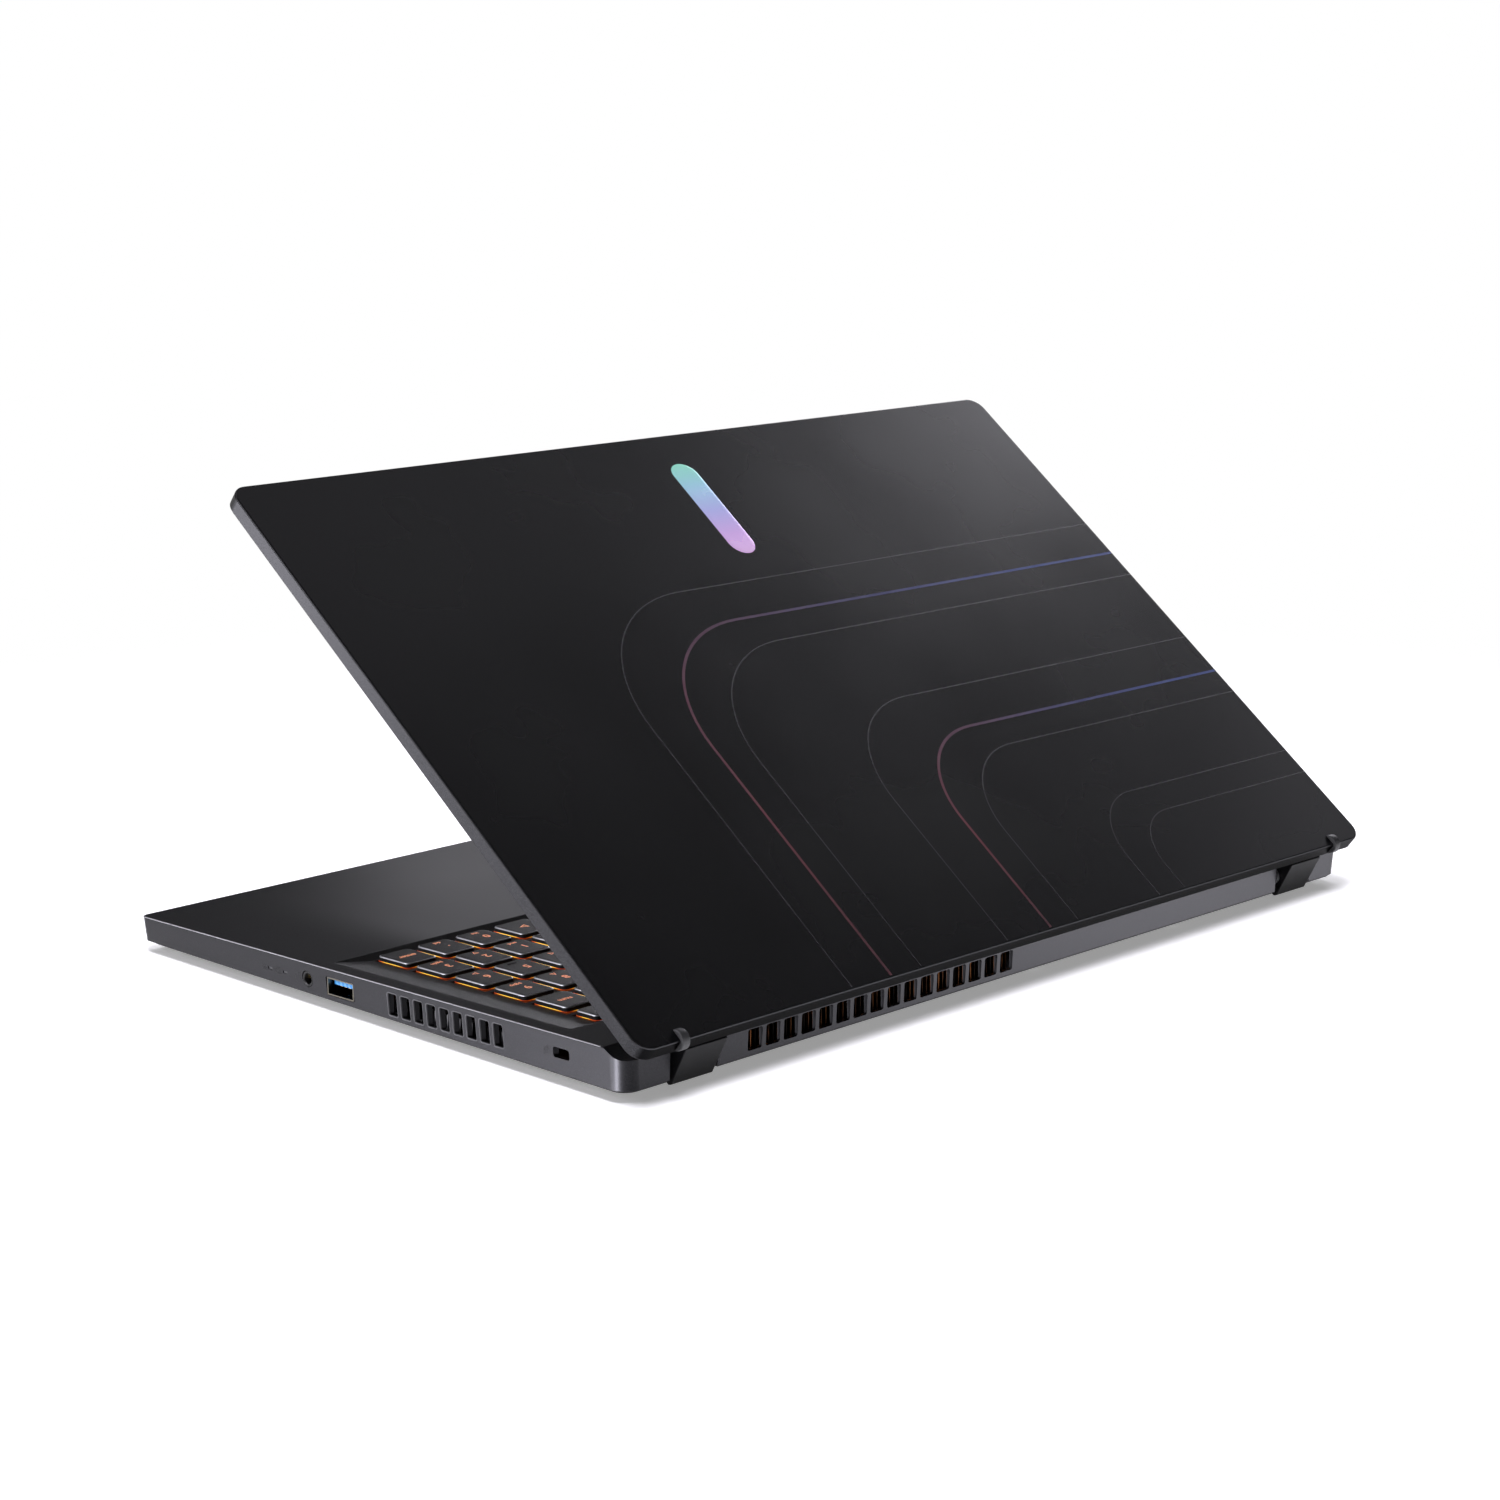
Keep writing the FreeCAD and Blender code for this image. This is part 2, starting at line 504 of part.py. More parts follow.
# ---------------------------------------------------------------- touchpad
b = body("touchpad")
s = sketch(b, "touchpad_outline", z=S["deck_level"] - 1.3)
rect(s, S["pad_width"], S["pad_depth"], S["pad_x"], S["pad_y"])
f = pad(b, "touchpad_plate", s, 1.2)
fillet(b, "touchpad_corners", f, upright, 1.5)
node("touchpad", b, DECK)

# ---------------------------------------------------------------- bottom cover, feet, screws (level with the floor)
b = body("bottom_cover")
s = sketch(b, "cover_outline", z=S["wall_gap"] - 0.8)
rect(s, S["base_width"] - 4.0, S["base_depth"] - 4.0)
f = pad(b, "cover_rim", s, 0.8)
f = fillet(b, "cover_rim_corners", f, upright, 5.0)
s = sketch(b, "cover_step_outline", z=S["foot_height"])
rect(s, S["base_width"] - 22.0, S["base_depth"] - 22.0)
f = pad(b, "cover_step", s, S["wall_gap"] - 0.8 - S["foot_height"])
s = sketch(b, "cover_notch_outline", z=0.0)
for side in (1, -1):
    rect(s, S["notch_width"], 30.0, side * S["hinge_center"], S["notch_front"] + 15.0)
pocket(b, "cover_notches", s, 10, reverse=True)
s = sketch(b, "cover_screw_circles", z=0.0)
circles(s, [(S["screw_radius"] + 0.2, x, y) for x, y in BOSSES])
pocket(b, "cover_screw_holes", s, 10, reverse=True)
s = sketch(b, "cover_sink_circles", z=0.0)
circles(s, [(2.3, x, y) for x, y in BOSSES])
pocket(b, "cover_sinks", s, S["foot_height"] + 0.75, reverse=True)
for tag, x in (("right", 128.0), ("center", 38.0)):
    s = sketch(b, "cover_grille_%s_outline" % tag, z=0.0)
    rect(s, 40.0, 1.8, x, 46.0)
    f = pocket(b, "cover_grille_%s_slot" % tag, s, 10, reverse=True)
    linear(b, "cover_grille_%s" % tag, f, s, "V_Axis", 40.0, 11)
node("bottom_cover", b, FLOOR)

feet = []
for k, (x, y, w) in enumerate(((138, -100, 44), (-138, -100, 44), (88, 100, 70), (-88, 100, 70))):
    feet.append(box("foot_%d" % k, w, 9.0, S["foot_height"], x, y, 0.0))
node("rubber_feet", group("rubber_feet_group", feet), FLOOR)
screws = []
for k, (x, y) in enumerate(BOSSES):
    screws.append(fuse("bottom_screw_%d" % k, [rod("bottom_screw_head_%d" % k, 2.0, 0.7, x, y, S["foot_height"] + 0.05),
                                              rod("bottom_screw_shank_%d" % k, S["screw_radius"] - 0.15, 4.6, x, y, S["foot_height"] + 0.7)]))
node("bottom_screws", group("bottom_screws_group", screws), FLOOR)

# ---------------------------------------------------------------- lid shell
LR, LT = S["lid_rear"], S["lid_top"]
LMID = LR - S["lid_length"] / 2.0
b = body("lid_back_cover")
s = sketch(b, "lid_outline", z=LT - S["lid_rim"])
rect(s, S["lid_width"], S["lid_length"], 0.0, LMID)
pad(b, "lid_block", s, S["lid_rim"])
s = sketch(b, "lid_inside", z=LT - S["lid_skin"])
rect(s, S["lid_width"] - S["lid_wall"] * 2.0, S["lid_length"] - S["lid_wall"] * 2.0, 0.0, LMID)
f = pocket(b, "lid_hollow", s, 10)


def lid_corner_edges(half):
    """Upright edges of the lid at a distance from its middle plane."""
    return lambda e: upright(e) and abs(abs(e.CenterOfMass.x) - half) < 1e-3


f = fillet(b, "lid_hollow_corners", f, lid_corner_edges(num(S["lid_width"]) / 2.0 - num(S["lid_wall"])), S["lid_corner"] - S["lid_wall"])
f = fillet(b, "lid_corners", f, lid_corner_edges(num(S["lid_width"]) / 2.0), S["lid_corner"])
f = fillet(b, "lid_edge", f, lambda e: abs(e.BoundBox.ZMin - num(LT)) < 1e-4 and abs(e.BoundBox.ZMax - num(LT)) < 1e-4, 0.6)
s = sketch(b, "lid_inlay_outline", z=LT)
rect(s, S["inlay_width"], S["inlay_length"], -6.0, LR - 201.0)
f = pocket(b, "lid_inlay_seat", s, S["inlay_depth"])
fillet(b, "lid_inlay_ends", f, lambda e: abs(e.BoundBox.ZLength - num(S["inlay_depth"])) < 1e-4 and e.BoundBox.XLength < 1e-4
       and abs(abs(e.CenterOfMass.x + 6.0) - num(S["inlay_width"]) / 2.0) < 1e-3, 5.95)
node("lid_back_cover", b, LID)
b = body("lid_inlay")
s = sketch(b, "inlay_outline", z=LT - S["inlay_depth"])
rect(s, S["inlay_width"] - 0.1, S["inlay_length"] - 0.1, -6.0, LR - 201.0)
f = pad(b, "inlay_bar", s, S["inlay_depth"] - 0.05)
fillet(b, "inlay_ends", f, lambda e: e.BoundBox.XLength < 1e-4 and e.BoundBox.YLength < 1e-4, 5.9)
node("lid_inlay", b, LID)

LOW = LT - S["lid_rim"]          # open side of the lid's rim
FACE = LOW - S["bezel_thick"]    # face of the bezel
SCREEN_Y = LR - S["chin"] - S["screen_height"] / 2.0
b = body("display_bezel")
s = sketch(b, "bezel_outline", z=FACE)
rect(s, S["lid_width"] - S["bezel_inset"] * 2.0, S["lid_length"] - S["bezel_inset"] * 2.0, 0.0, LMID)
f = pad(b, "bezel_plate", s, S["bezel_thick"])
f = fillet(b, "bezel_corners", f, upright, S["lid_corner"] - S["bezel_inset"])
s = sketch(b, "bezel_screen_outline", z=0.0)
rect(s, S["screen_width"], S["screen_height"], 0.0, SCREEN_Y)
pocket(b, "bezel_screen_opening", s, 30, reverse=True)
s = sketch(b, "bezel_hinge_outline", z=0.0)
for side in (1, -1):
    rect(s, 14.6, 6.0, side * 151.0, 116.0)
pocket(b, "bezel_hinge_openings", s, 30, reverse=True)
s = sketch(b, "bezel_lens_circle", z=0.0)
circle(s, 2.2, 0.0, LR - S["lid_length"] + 4.6)
pocket(b, "bezel_lens_hole", s, 30, reverse=True)
node("display_bezel", b, LID)

node("display_panel", box("display_panel_box", S["screen_width"] + 8.0, S["screen_height"] + 6.0, S["panel_thick"],
                          0, SCREEN_Y + 0.8, LOW), LID)
lens_y = LR - S["lid_length"] + 4.6
node("webcam_module", fuse("webcam_fuse", [box("webcam_board", 62.0, 5.0, 1.6, 0, lens_y, LOW),
                                           rod("webcam_lens", 2.0, 0.9, 0, lens_y, FACE + 0.15)]), LID)
node("wifi_antennas", group("wifi_antennas_group", [box("antenna_%d" % k, 46.0, 5.0, 2.0, x, lens_y, LOW + 0.5)
                                                    for k, x in enumerate((95.0, -95.0))]), LID)
node("display_cable", fuse("display_cable_fuse", [
    box("cable_run", 118.0, 6.0, 0.6, -79.0, 97.0, LOW + 0.6), box("cable_plug", 26.0, 8.0, 1.2, -20.0, 95.0, LOW + 0.3),
    box("cable_end", 6.0, 14.0, 0.6, -135.0, 101.0, LOW + 0.6)]), LID)
node("bezel_bumpers", group("bezel_bumpers_group", [
    box("bezel_pad_%d" % k, 8.0, 3.0, 0.95, x, y, FACE - 0.95)
    for k, (x, y) in enumerate(((150.0, -114.0), (-150.0, -114.0), (60.0, -114.0), (-60.0, -114.0)))]), LID)
crescents = []
for k, side in enumerate((1, -1)):
    disc = rod("bumper_disc_%d" % k, S["bumper_radius"], S["bumper_width"], side * num(S["bumper_x"]) - num(S["bumper_width"]) / 2.0,
               LR - S["bumper_set"], LT - S["bumper_set"], "x")
    corner = box("bumper_corner_%d" % k, 10.0, 20.0, 20.0, side * num(S["bumper_x"]), num(LR) - 10.0, num(LT) - 20.0)
    crescents.append(cut("bumper_%d" % k, disc, [corner]))
node("lid_bumpers", group("lid_bumpers_group", crescents), LID)

# ---------------------------------------------------------------- hinges
pins = []
HSET = {1: "right", -1: "left"}
ear0, ear1 = num(S["ear_inner"]), num(S["ear_inner"]) + num(S["ear_thick"])
cov0, cov1, cw = num(S["cover_inner"]), num(S["cover_outer"]), num(S["cover_wall"])
lid_low = num(FACE)


def span(side, x0, x1):
    """Start and length along +X of a stretch that is mirrored on the left."""
    return (x0, x1 - x0) if side > 0 else (-x1, x1 - x0)


for side, tag in HSET.items():
    # cover block: drawn with the lid closed, drafted so that its foot stands out to the rear
    b = body("hinge_cover_" + tag)
    start, length = span(side, cov0, cov1)
    s = sketch(b, "cover_side_" + tag, role="YZ_Plane", z=start)
    loop(s, [(109.0, lid_low), (109.6, 5.0), (111.2, 1.4), (113.4, -0.3), (121.6, -0.3), (122.35, 0.6), (120.0, lid_low)])
    f = pad(b, "cover_block_" + tag, s, S["cover_outer"] - S["cover_inner"])
    start2, length2 = span(side, cov0 + cw, cov1 - cw)
    s = sketch(b, "cover_room_" + tag, role="YZ_Plane", z=start2)
    loop(s, [(110.3, lid_low + 1), (110.8, 5.0), (112.2, 2.1), (113.9, 0.9), (120.95, 0.9), (118.7, lid_low + 1)])
    pocket(b, "cover_hollow_" + tag, s, length2, reverse=True)
    hole0, _ = span(side, cov0 - 1.0, cov0 + cw + 0.5)
    s = sketch(b, "cover_pin_circle_" + tag, role="YZ_Plane", z=hole0)
    circle(s, S["pin_radius"] + 0.4, S["pivot_rear"], S["pivot_up"])
    pocket(b, "cover_pin_hole_" + tag, s, cw + 1.5, reverse=True)
    node("hinge_cover_" + tag, b, LID)

    # pin, fixed in the arm's knuckle and turning in the bracket's ear
    p0, plen = span(side, ear0 - 0.35, 157.0)
    pins.append(rod("hinge_pin_" + tag, S["pin_radius"], plen, p0, PY, PZ, "x"))

    k0, klen = span(side, 144.8, 157.0)
    knuckle = rod("knuckle_" + tag, S["knuckle_radius"], klen, k0, PY, PZ, "x")
    web = box("arm_web_" + tag, klen, 1.8, 12.2, k0 + klen / 2.0, 115.4, PZ)
    flange = box("arm_flange_" + tag, 34.0, 18.0, 1.4, side * 147.0, 107.3, PZ + 12.1)
    bore = rod("knuckle_bore_" + tag, S["pin_radius"], klen + 2, k0 - 1, PY, PZ, "x")
    node("hinge_arm_" + tag, cut("hinge_arm_cut_" + tag, fuse("hinge_arm_fuse_" + tag, [knuckle, web, flange]), [bore]), LID)

    # bracket: ear in the notch, flange under the deck
    b = body("hinge_bracket_" + tag)
    e0, elen = span(side, ear0, ear1)
    s = sketch(b, "ear_side_" + tag, role="YZ_Plane", z=e0)
    er = num(S["ear_radius"])
    rim = [(PY + er * math.sin(math.radians(t)), PZ + er * math.cos(math.radians(t))) for t in range(0, 181, 15)]
    loop(s, [(93.0, 11.4), (104.0, 11.4), (106.0, 8.8)] + rim + [(108.0, 2.8), (93.0, 8.6)])
    pad(b, "ear_" + tag, s, S["ear_thick"])
    f0, flen = span(side, 111.0, ear1)
    s = sketch(b, "flange_outline_" + tag, z=CEIL - 1.4)
    rect(s, flen, 11.0, f0 + flen / 2.0, 98.5)
    pad(b, "flange_" + tag, s, 1.4)
    s = sketch(b, "ear_circle_" + tag, role="YZ_Plane", z=e0 - 1.0)
    circle(s, S["pin_radius"] + S["pin_play"], S["pivot_rear"], S["pivot_up"])
    pocket(b, "ear_bore_" + tag, s, 4.0, reverse=True)
    s = sketch(b, "flange_circles_" + tag, z=8.0)
    for x, y in HSCREWS:
        if x * side > 0:
            circle(s, 1.1, x, y)
    pocket(b, "flange_holes_" + tag, s, 6.0, reverse=True)
    node("hinge_bracket_" + tag, b, DECK)
node("hinge_pins", group("hinge_pins_group", pins), LID)
node("hinge_screws", group("hinge_screws_group", [
    fuse("hinge_screw_%d" % k, [rod("hinge_screw_head_%d" % k, 1.9, 0.8, x, y, CEIL - 2.2),
                                rod("hinge_screw_shank_%d" % k, 0.9, 2.2, x, y, CEIL - 1.45)])
    for k, (x, y) in enumerate(HSCREWS)]), DECK)

# ---------------------------------------------------------------- ports and lights on the user's right
WALL = HW - 0.55
shell = cut("usb_shell_cut", box("usb_shell", 14.0, 13.2, 5.7, WALL - 7.0, S["usb_y"], S["usb_z"] - 2.85),
            [box("usb_room", 13.6, 12.4, 5.0, WALL - 6.7, S["usb_y"], S["usb_z"] - 2.5)])
node("usb_port_right", shell, DECK)
node("usb_tongue_right", box("usb_tongue", 11.5, 11.2, 1.8, WALL - 7.75, S["usb_y"], S["usb_z"] + 0.3), DECK)
JY, JZ = num(S["jack_y"]), num(S["jack_z"])
jack = cut("jack_cut", fuse("jack_fuse", [rod("jack_nose", S["jack_ring"] - 0.1, 3.5, HW - 4.2, JY, JZ, "x"),
                                          box("jack_block", 11.0, 6.4, 5.4, HW - 9.5, JY, JZ - 2.7)]),
           [rod("jack_hole", S["jack_bore"], 13.0, HW - 13.5, JY, JZ, "x")])
node("headset_jack", jack, DECK)
node("indicator_lights", group("indicator_lights_group", [
    box("light_%d" % k, 4.0, S["led_width"] - 0.1, S["led_height"] - 0.1, HW - 2.62, y, S["jack_z"] - S["led_height"] / 2.0 + 0.05)
    for k, y in enumerate((S["led_front"], S["led_rear"]))]), DECK)
node("io_board", box("io_board_box", 26.0, 60.0, 0.8, 163.0, -26.0, 3.5), DECK)

# ---------------------------------------------------------------- ports on the user's left
def port(name, y, z, w, h, deep, wall=0.4):
    out = box(name + "_shell", deep, w - 0.6, h - 0.5, -WALL + deep / 2.0, y, z - (h - 0.5) / 2.0)
    room = box(name + "_room", deep - 0.4, w - 0.6 - 2 * wall, h - 0.5 - 2 * wall, -WALL + (deep - 0.4) / 2.0 - 0.01, y,
               z - (h - 0.5) / 2.0 + wall)
    return cut(name + "_cut", out, [room])


PL = {key: (y, z, w, h) for key, y, z, w, h in LEFT}
usbs = []
for key in ("usb1", "usb2"):
    y, z, w, h = PL[key]
    usbs.append(fuse(key + "_fuse", [port(key, y, z, w, h, 14.0), box(key + "_tongue", 13.0, 11.2, 1.8, -WALL + 7.4, y, z + 0.3)]))
node("usb_ports_left", group("usb_ports_left_group", usbs), DECK)
y, z, w, h = PL["typec"]


def oval(name, deep, w, h, x, y, z):
    """Bar along X with round ends, w wide and h high, centred on y and z."""
    return fuse(name, [box(name + "_flat", deep, w - h, h, x + deep / 2.0, y, z - h / 2.0),
                       rod(name + "_end_1", h / 2.0, deep, x, y + (w - h) / 2.0, z, "x"),
                       rod(name + "_end_2", h / 2.0, deep, x, y - (w - h) / 2.0, z, "x")])


node("usb_c_port", fuse("typec_fuse", [
    cut("typec_cut", oval("typec_shell", 9.0, w - 0.5, h - 0.4, -WALL, y, z), [oval("typec_room", 8.6, w - 1.1, h - 1.0, -WALL - 0.01, y, z)]),
    box("typec_tongue", 7.4, 6.2, 0.7, -WALL + 5.2, y, z - 0.35)]), DECK)
y, z, w, h = PL["hdmi"]
b = body("hdmi_port")
for tag, inset, x, deep in (("shell", 0.3, -WALL, 11.0), ("room", 0.7, -WALL - 0.01, 10.6)):
    s = sketch(b, "hdmi_%s_outline" % tag, role="YZ_Plane", z=x)
    c = 1.8 - 0.35 * inset
    loop(s, [(y - w / 2 + inset, z + h / 2 - inset), (y - w / 2 + inset, z - 0.7 + 0.45 * inset), (y - w / 2 + inset + c, z - h / 2 + inset),
             (y + w / 2 - inset - c, z - h / 2 + inset), (y + w / 2 - inset, z - 0.7 + 0.45 * inset), (y + w / 2 - inset, z + h / 2 - inset)])
    if tag == "shell":
        pad(b, "hdmi_shell", s, deep)
    else:
        pocket(b, "hdmi_room", s, deep, reverse=True)
s = sketch(b, "hdmi_tongue_outline", role="YZ_Plane", z=-WALL + 1.5)
rect(s, 10.6, 1.2, y, z + 0.6)
pad(b, "hdmi_tongue", s, 9.3)
node("hdmi_port", b, DECK)
y, z, w, h = PL["ethernet"]
node("ethernet_port", port("ethernet", y, z, w, h, 17.0, 0.5), DECK)
node("dc_inlet", fuse("dc_fuse", [cut("dc_cut", fuse("dc_outer", [rod("dc_nose", 3.5, 3.0, -HW + 0.6, 82.0, 6.2, "x"),
                                                              box("dc_block", 11.0, 8.0, 7.4, -HW + 8.9, 82.0, 2.5)]),
                                       [rod("dc_hole", 2.75, 12.0, -HW - 0.5, 82.0, 6.2, "x")]),
                                  rod("dc_pin", 0.85, 10.6, -HW + 1.6, 82.0, 6.2, "x")]), DECK)

# ---------------------------------------------------------------- cooling (level with the floor)
for tag, x, y in (("right", 128.0, 66.0), ("center", 38.0, 66.0)):
    b = body("fan_housing_" + tag)
    s = sketch(b, "housing_outline_" + tag, z=4.5)
    rect(s, S["fan_size"], S["fan_size"], x, y)
    pad(b, "housing_block_" + tag, s, S["fan_thick"])
    s = sketch(b, "housing_circle_" + tag, z=4.5)
    circle(s, S["fan_radius"], x, y)
    pocket(b, "housing_room_" + tag, s, S["fan_thick"] - 0.7, reverse=True)
    s = sketch(b, "housing_outlet_" + tag, z=4.5)
    if tag == "right":
        rect(s, 30.0, 44.0, x + 20.0, y)
    else:
        rect(s, 44.0, 30.0, x, y + 20.0)
    pocket(b, "housing_mouth_" + tag, s, S["fan_thick"] - 0.7, reverse=True)
    s = sketch(b, "housing_axle_circle_" + tag, z=5.0)
    circle(s, S["axle_radius"], x, y)
    pad(b, "housing_axle_" + tag, s, S["fan_thick"] - 1.0)
    node("fan_housing_" + tag, b, FLOOR)
    b = body("fan_rotor_" + tag)
    s = sketch(b, "hub_circles_" + tag, z=5.0)
    circle(s, S["hub_radius"], x, y)
    f = pad(b, "hub_" + tag, s, 3.2)
    s = sketch(b, "hub_bore_circle_" + tag, z=4.0)
    circle(s, S["axle_radius"] + S["axle_play"], x, y)
    pocket(b, "hub_bore_" + tag, s, 8.0, reverse=True)
    s = sketch(b, "blade_outline_" + tag, x=x, y=y, z=5.2)
    rect(s, S["rotor_radius"] - S["hub_radius"] + 1.0, 0.7, (S["rotor_radius"] + S["hub_radius"] - 1.0) / 2.0, 0.0)
    f = pad(b, "blade_" + tag, s, 2.8)
    p = b.newObject("PartDesign::PolarPattern", "blades_" + tag)
    p.Originals = [f]
    p.Axis = (s, ["N_Axis"])
    p.Angle = 360
    p.Occurrences = int(num(S["blade_count"]))
    p.setExpression("Occurrences", S["blade_count"].e)
    b.Tip = p
    doc.recompute()
    node("fan_rotor_" + tag, b, FLOOR)

b = body("rear_fin_stack")
s = sketch(b, "rear_fin_plate_outline", z=4.6)
rect(s, 126.0, 10.5, 67.0, 111.4)
pad(b, "rear_fin_plate", s, 0.5)
s = sketch(b, "rear_fin_outline", z=4.6)
rect(s, S["fin_thick"], 10.5, 129.4, 111.4)
f = pad(b, "rear_fin", s, 6.4)
linear(b, "rear_fins", f, s, "H_Axis", S["fin_pitch"] * (S["fin_count_rear"] - 1.0), S["fin_count_rear"], reverse=True)
node("rear_fin_stack", b, FLOOR)
b = body("side_fin_stack")
s = sketch(b, "side_fin_plate_outline", z=4.6)
rect(s, 12.5, 58.0, 170.6, 39.0)
pad(b, "side_fin_plate", s, 0.5)
s = sketch(b, "side_fin_outline", z=4.6)
rect(s, 12.5, S["fin_thick"], 170.6, 10.4)
f = pad(b, "side_fin", s, 5.0)
linear(b, "side_fins", f, s, "V_Axis", S["fin_pitch"] * (S["fin_count_side"] - 1.0), S["fin_count_side"])
node("side_fin_stack", b, FLOOR)

b = body("heat_pipes")
s = sketch(b, "pipe_outline", z=6.9)
loop(s, [(-70, 6), (-64, 6), (-64, 96), (128, 96), (128, 101), (-70, 101)])
pad(b, "pipe_rear", s, 2.0)
s = sketch(b, "pipe_plate_outline", z=6.9)
loop(s, [(-104, 14), (-34, 14), (-34, 60), (-104, 60)])
pad(b, "pipe_plate", s, 1.2)
node("heat_pipes", b, FLOOR)

# ---------------------------------------------------------------- boards, battery, speakers (level with the floor)
b = body("motherboard")
s = sketch(b, "board_outline", z=5.2)
loop(s, [(-160, -24), (136, -24), (136, 32), (4, 32), (4, 92), (-160, 92)])
pad(b, "board", s, S["board_thick"])
node("motherboard", b, FLOOR)
BT = 5.2 + num(S["board_thick"])
node("ssd_module", box("ssd_box", 80.0, 22.0, 2.2, 72.0, 16.0, BT + 0.3), FLOOR)
node("memory_modules", group("memory_group", [box("memory_%d" % k, 69.6, 26.0, 1.4, -10.0 - 80.0 * k, -8.0, BT + 0.3) for k in range(2)]), FLOOR)
node("wireless_card", box("wireless_box", 22.0, 30.0, 1.6, -140.0, 20.0, BT + 0.3), FLOOR)
b = body("battery_pack")
s = sketch(b, "battery_outline", z=4.4)
rect(s, 228.0, 66.0, 0.0, -71.0)
pad(b, "battery_case", s, S["battery_thick"])
s = sketch(b, "battery_grooves", z=3.0)
for x in (-57.0, 0.0, 57.0):
    rect(s, 1.2, 80.0, x, -71.0)
pocket(b, "battery_cell_gaps", s, 2.4, reverse=True)
node("battery_pack", b, FLOOR)
spk = []
for k, side in enumerate((1, -1)):
    spk.append(cut("speaker_%d" % k, box("speaker_box_%d" % k, 44.0, 20.0, 4.6, side * 144.0, -92.0, 4.4),
                   [rod("speaker_cone_%d" % k, 7.5, 1.6, side * 144.0, -92.0, 4.0)]))
node("speakers", group("speakers_group", spk), FLOOR)

# ---------------------------------------------------------------- set in place, check, write
doc.recompute()
for name, (obj, frame) in NODES.items():
    obj.Placement = frame.multiply(obj.Placement)
doc.recompute()
for o in doc.Objects:
    if "Invalid" in o.State or "Error" in o.State:
        raise RuntimeError("%s is %s" % (o.Name, o.State))
low, high = [1e9] * 3, [-1e9] * 3
for name, (obj, frame) in NODES.items():
    sh = obj.Shape
    if sh.isNull() or not sh.isValid() or not sh.Solids or min(x.Volume for x in sh.Solids) <= 0:
        raise RuntimeError("%s has a bad shape" % name)
    bb = sh.BoundBox
    low = [min(a, c) for a, c in zip(low, (bb.XMin, bb.YMin, bb.ZMin))]
    high = [max(a, c) for a, c in zip(high, (bb.XMax, bb.YMax, bb.ZMax))]
if len(NODES) > 60:
    raise RuntimeError("too many pieces")
os.makedirs("parts", exist_ok=True)
for name, (obj, frame) in NODES.items():
    obj.Shape.exportStep("parts/%s.step" % name)
print("pieces", len(NODES))
print("box", [round(v, 3) for v in low], [round(v, 3) for v in high])
hinge = DECK.multVec(pivot)
print("hinge axis point", round(hinge.y, 4), round(hinge.z, 4))
tilt = DECK.Rotation.multVec(Vector(0, 0, 1))
print("deck normal", round(tilt.y, 6), round(tilt.z, 6))
print("touchpad pivot", DECK.multVec(Vector(0, num(S["pad_y"]) + num(S["pad_depth"]) / 2.0, 12.4)))
print("jack mouth", DECK.multVec(Vector(HW, JY, JZ)))
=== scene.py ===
import bpy
import json
import math
from mathutils import Matrix, Vector

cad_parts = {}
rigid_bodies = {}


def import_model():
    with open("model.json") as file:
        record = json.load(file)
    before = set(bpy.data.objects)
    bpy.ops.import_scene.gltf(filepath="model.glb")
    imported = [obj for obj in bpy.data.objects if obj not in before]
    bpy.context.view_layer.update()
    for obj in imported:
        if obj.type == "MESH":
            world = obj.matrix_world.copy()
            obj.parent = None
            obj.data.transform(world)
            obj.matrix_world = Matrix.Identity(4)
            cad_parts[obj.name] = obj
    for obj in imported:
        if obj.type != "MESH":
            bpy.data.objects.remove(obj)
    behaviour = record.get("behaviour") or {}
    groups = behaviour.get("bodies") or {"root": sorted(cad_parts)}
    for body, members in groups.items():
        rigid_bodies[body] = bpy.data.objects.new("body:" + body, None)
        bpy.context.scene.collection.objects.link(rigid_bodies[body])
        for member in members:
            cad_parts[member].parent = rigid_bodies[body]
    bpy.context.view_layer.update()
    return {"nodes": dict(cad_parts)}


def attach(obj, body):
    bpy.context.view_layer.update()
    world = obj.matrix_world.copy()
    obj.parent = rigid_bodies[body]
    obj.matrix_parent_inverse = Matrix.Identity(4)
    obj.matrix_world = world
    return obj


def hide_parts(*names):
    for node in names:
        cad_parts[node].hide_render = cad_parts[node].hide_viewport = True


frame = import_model()
NODES = frame["nodes"]
SCENE = bpy.context.scene
MM = 0.001

# ------------------------------------------------------------------ frames, in millimetres
# The base is drawn with its deck level, the lid in the same frame as if it were closed.
SLOPE = math.radians(1.116)
LIFT = 4.0 - math.sin(SLOPE) * 239.86 / 2.0
DECK = Matrix.Translation((0, -4.811, LIFT)) @ Matrix.Rotation(SLOPE, 4, "X")
PIVOT = Vector((0, 116.64, 5.39))
LID = DECK @ Matrix.Translation(PIVOT) @ Matrix.Rotation(math.radians(-38.8), 4, "X") @ Matrix.Translation(-PIVOT)
DECK_UP = DECK.to_3x3() @ Vector((0, 0, 1))
LID_UP = LID.to_3x3() @ Vector((0, 0, 1))
LID_REAR = tuple(LID.to_3x3() @ Vector((0.0, 1.0, 0.0)))
TAN4 = math.tan(math.radians(4.0))


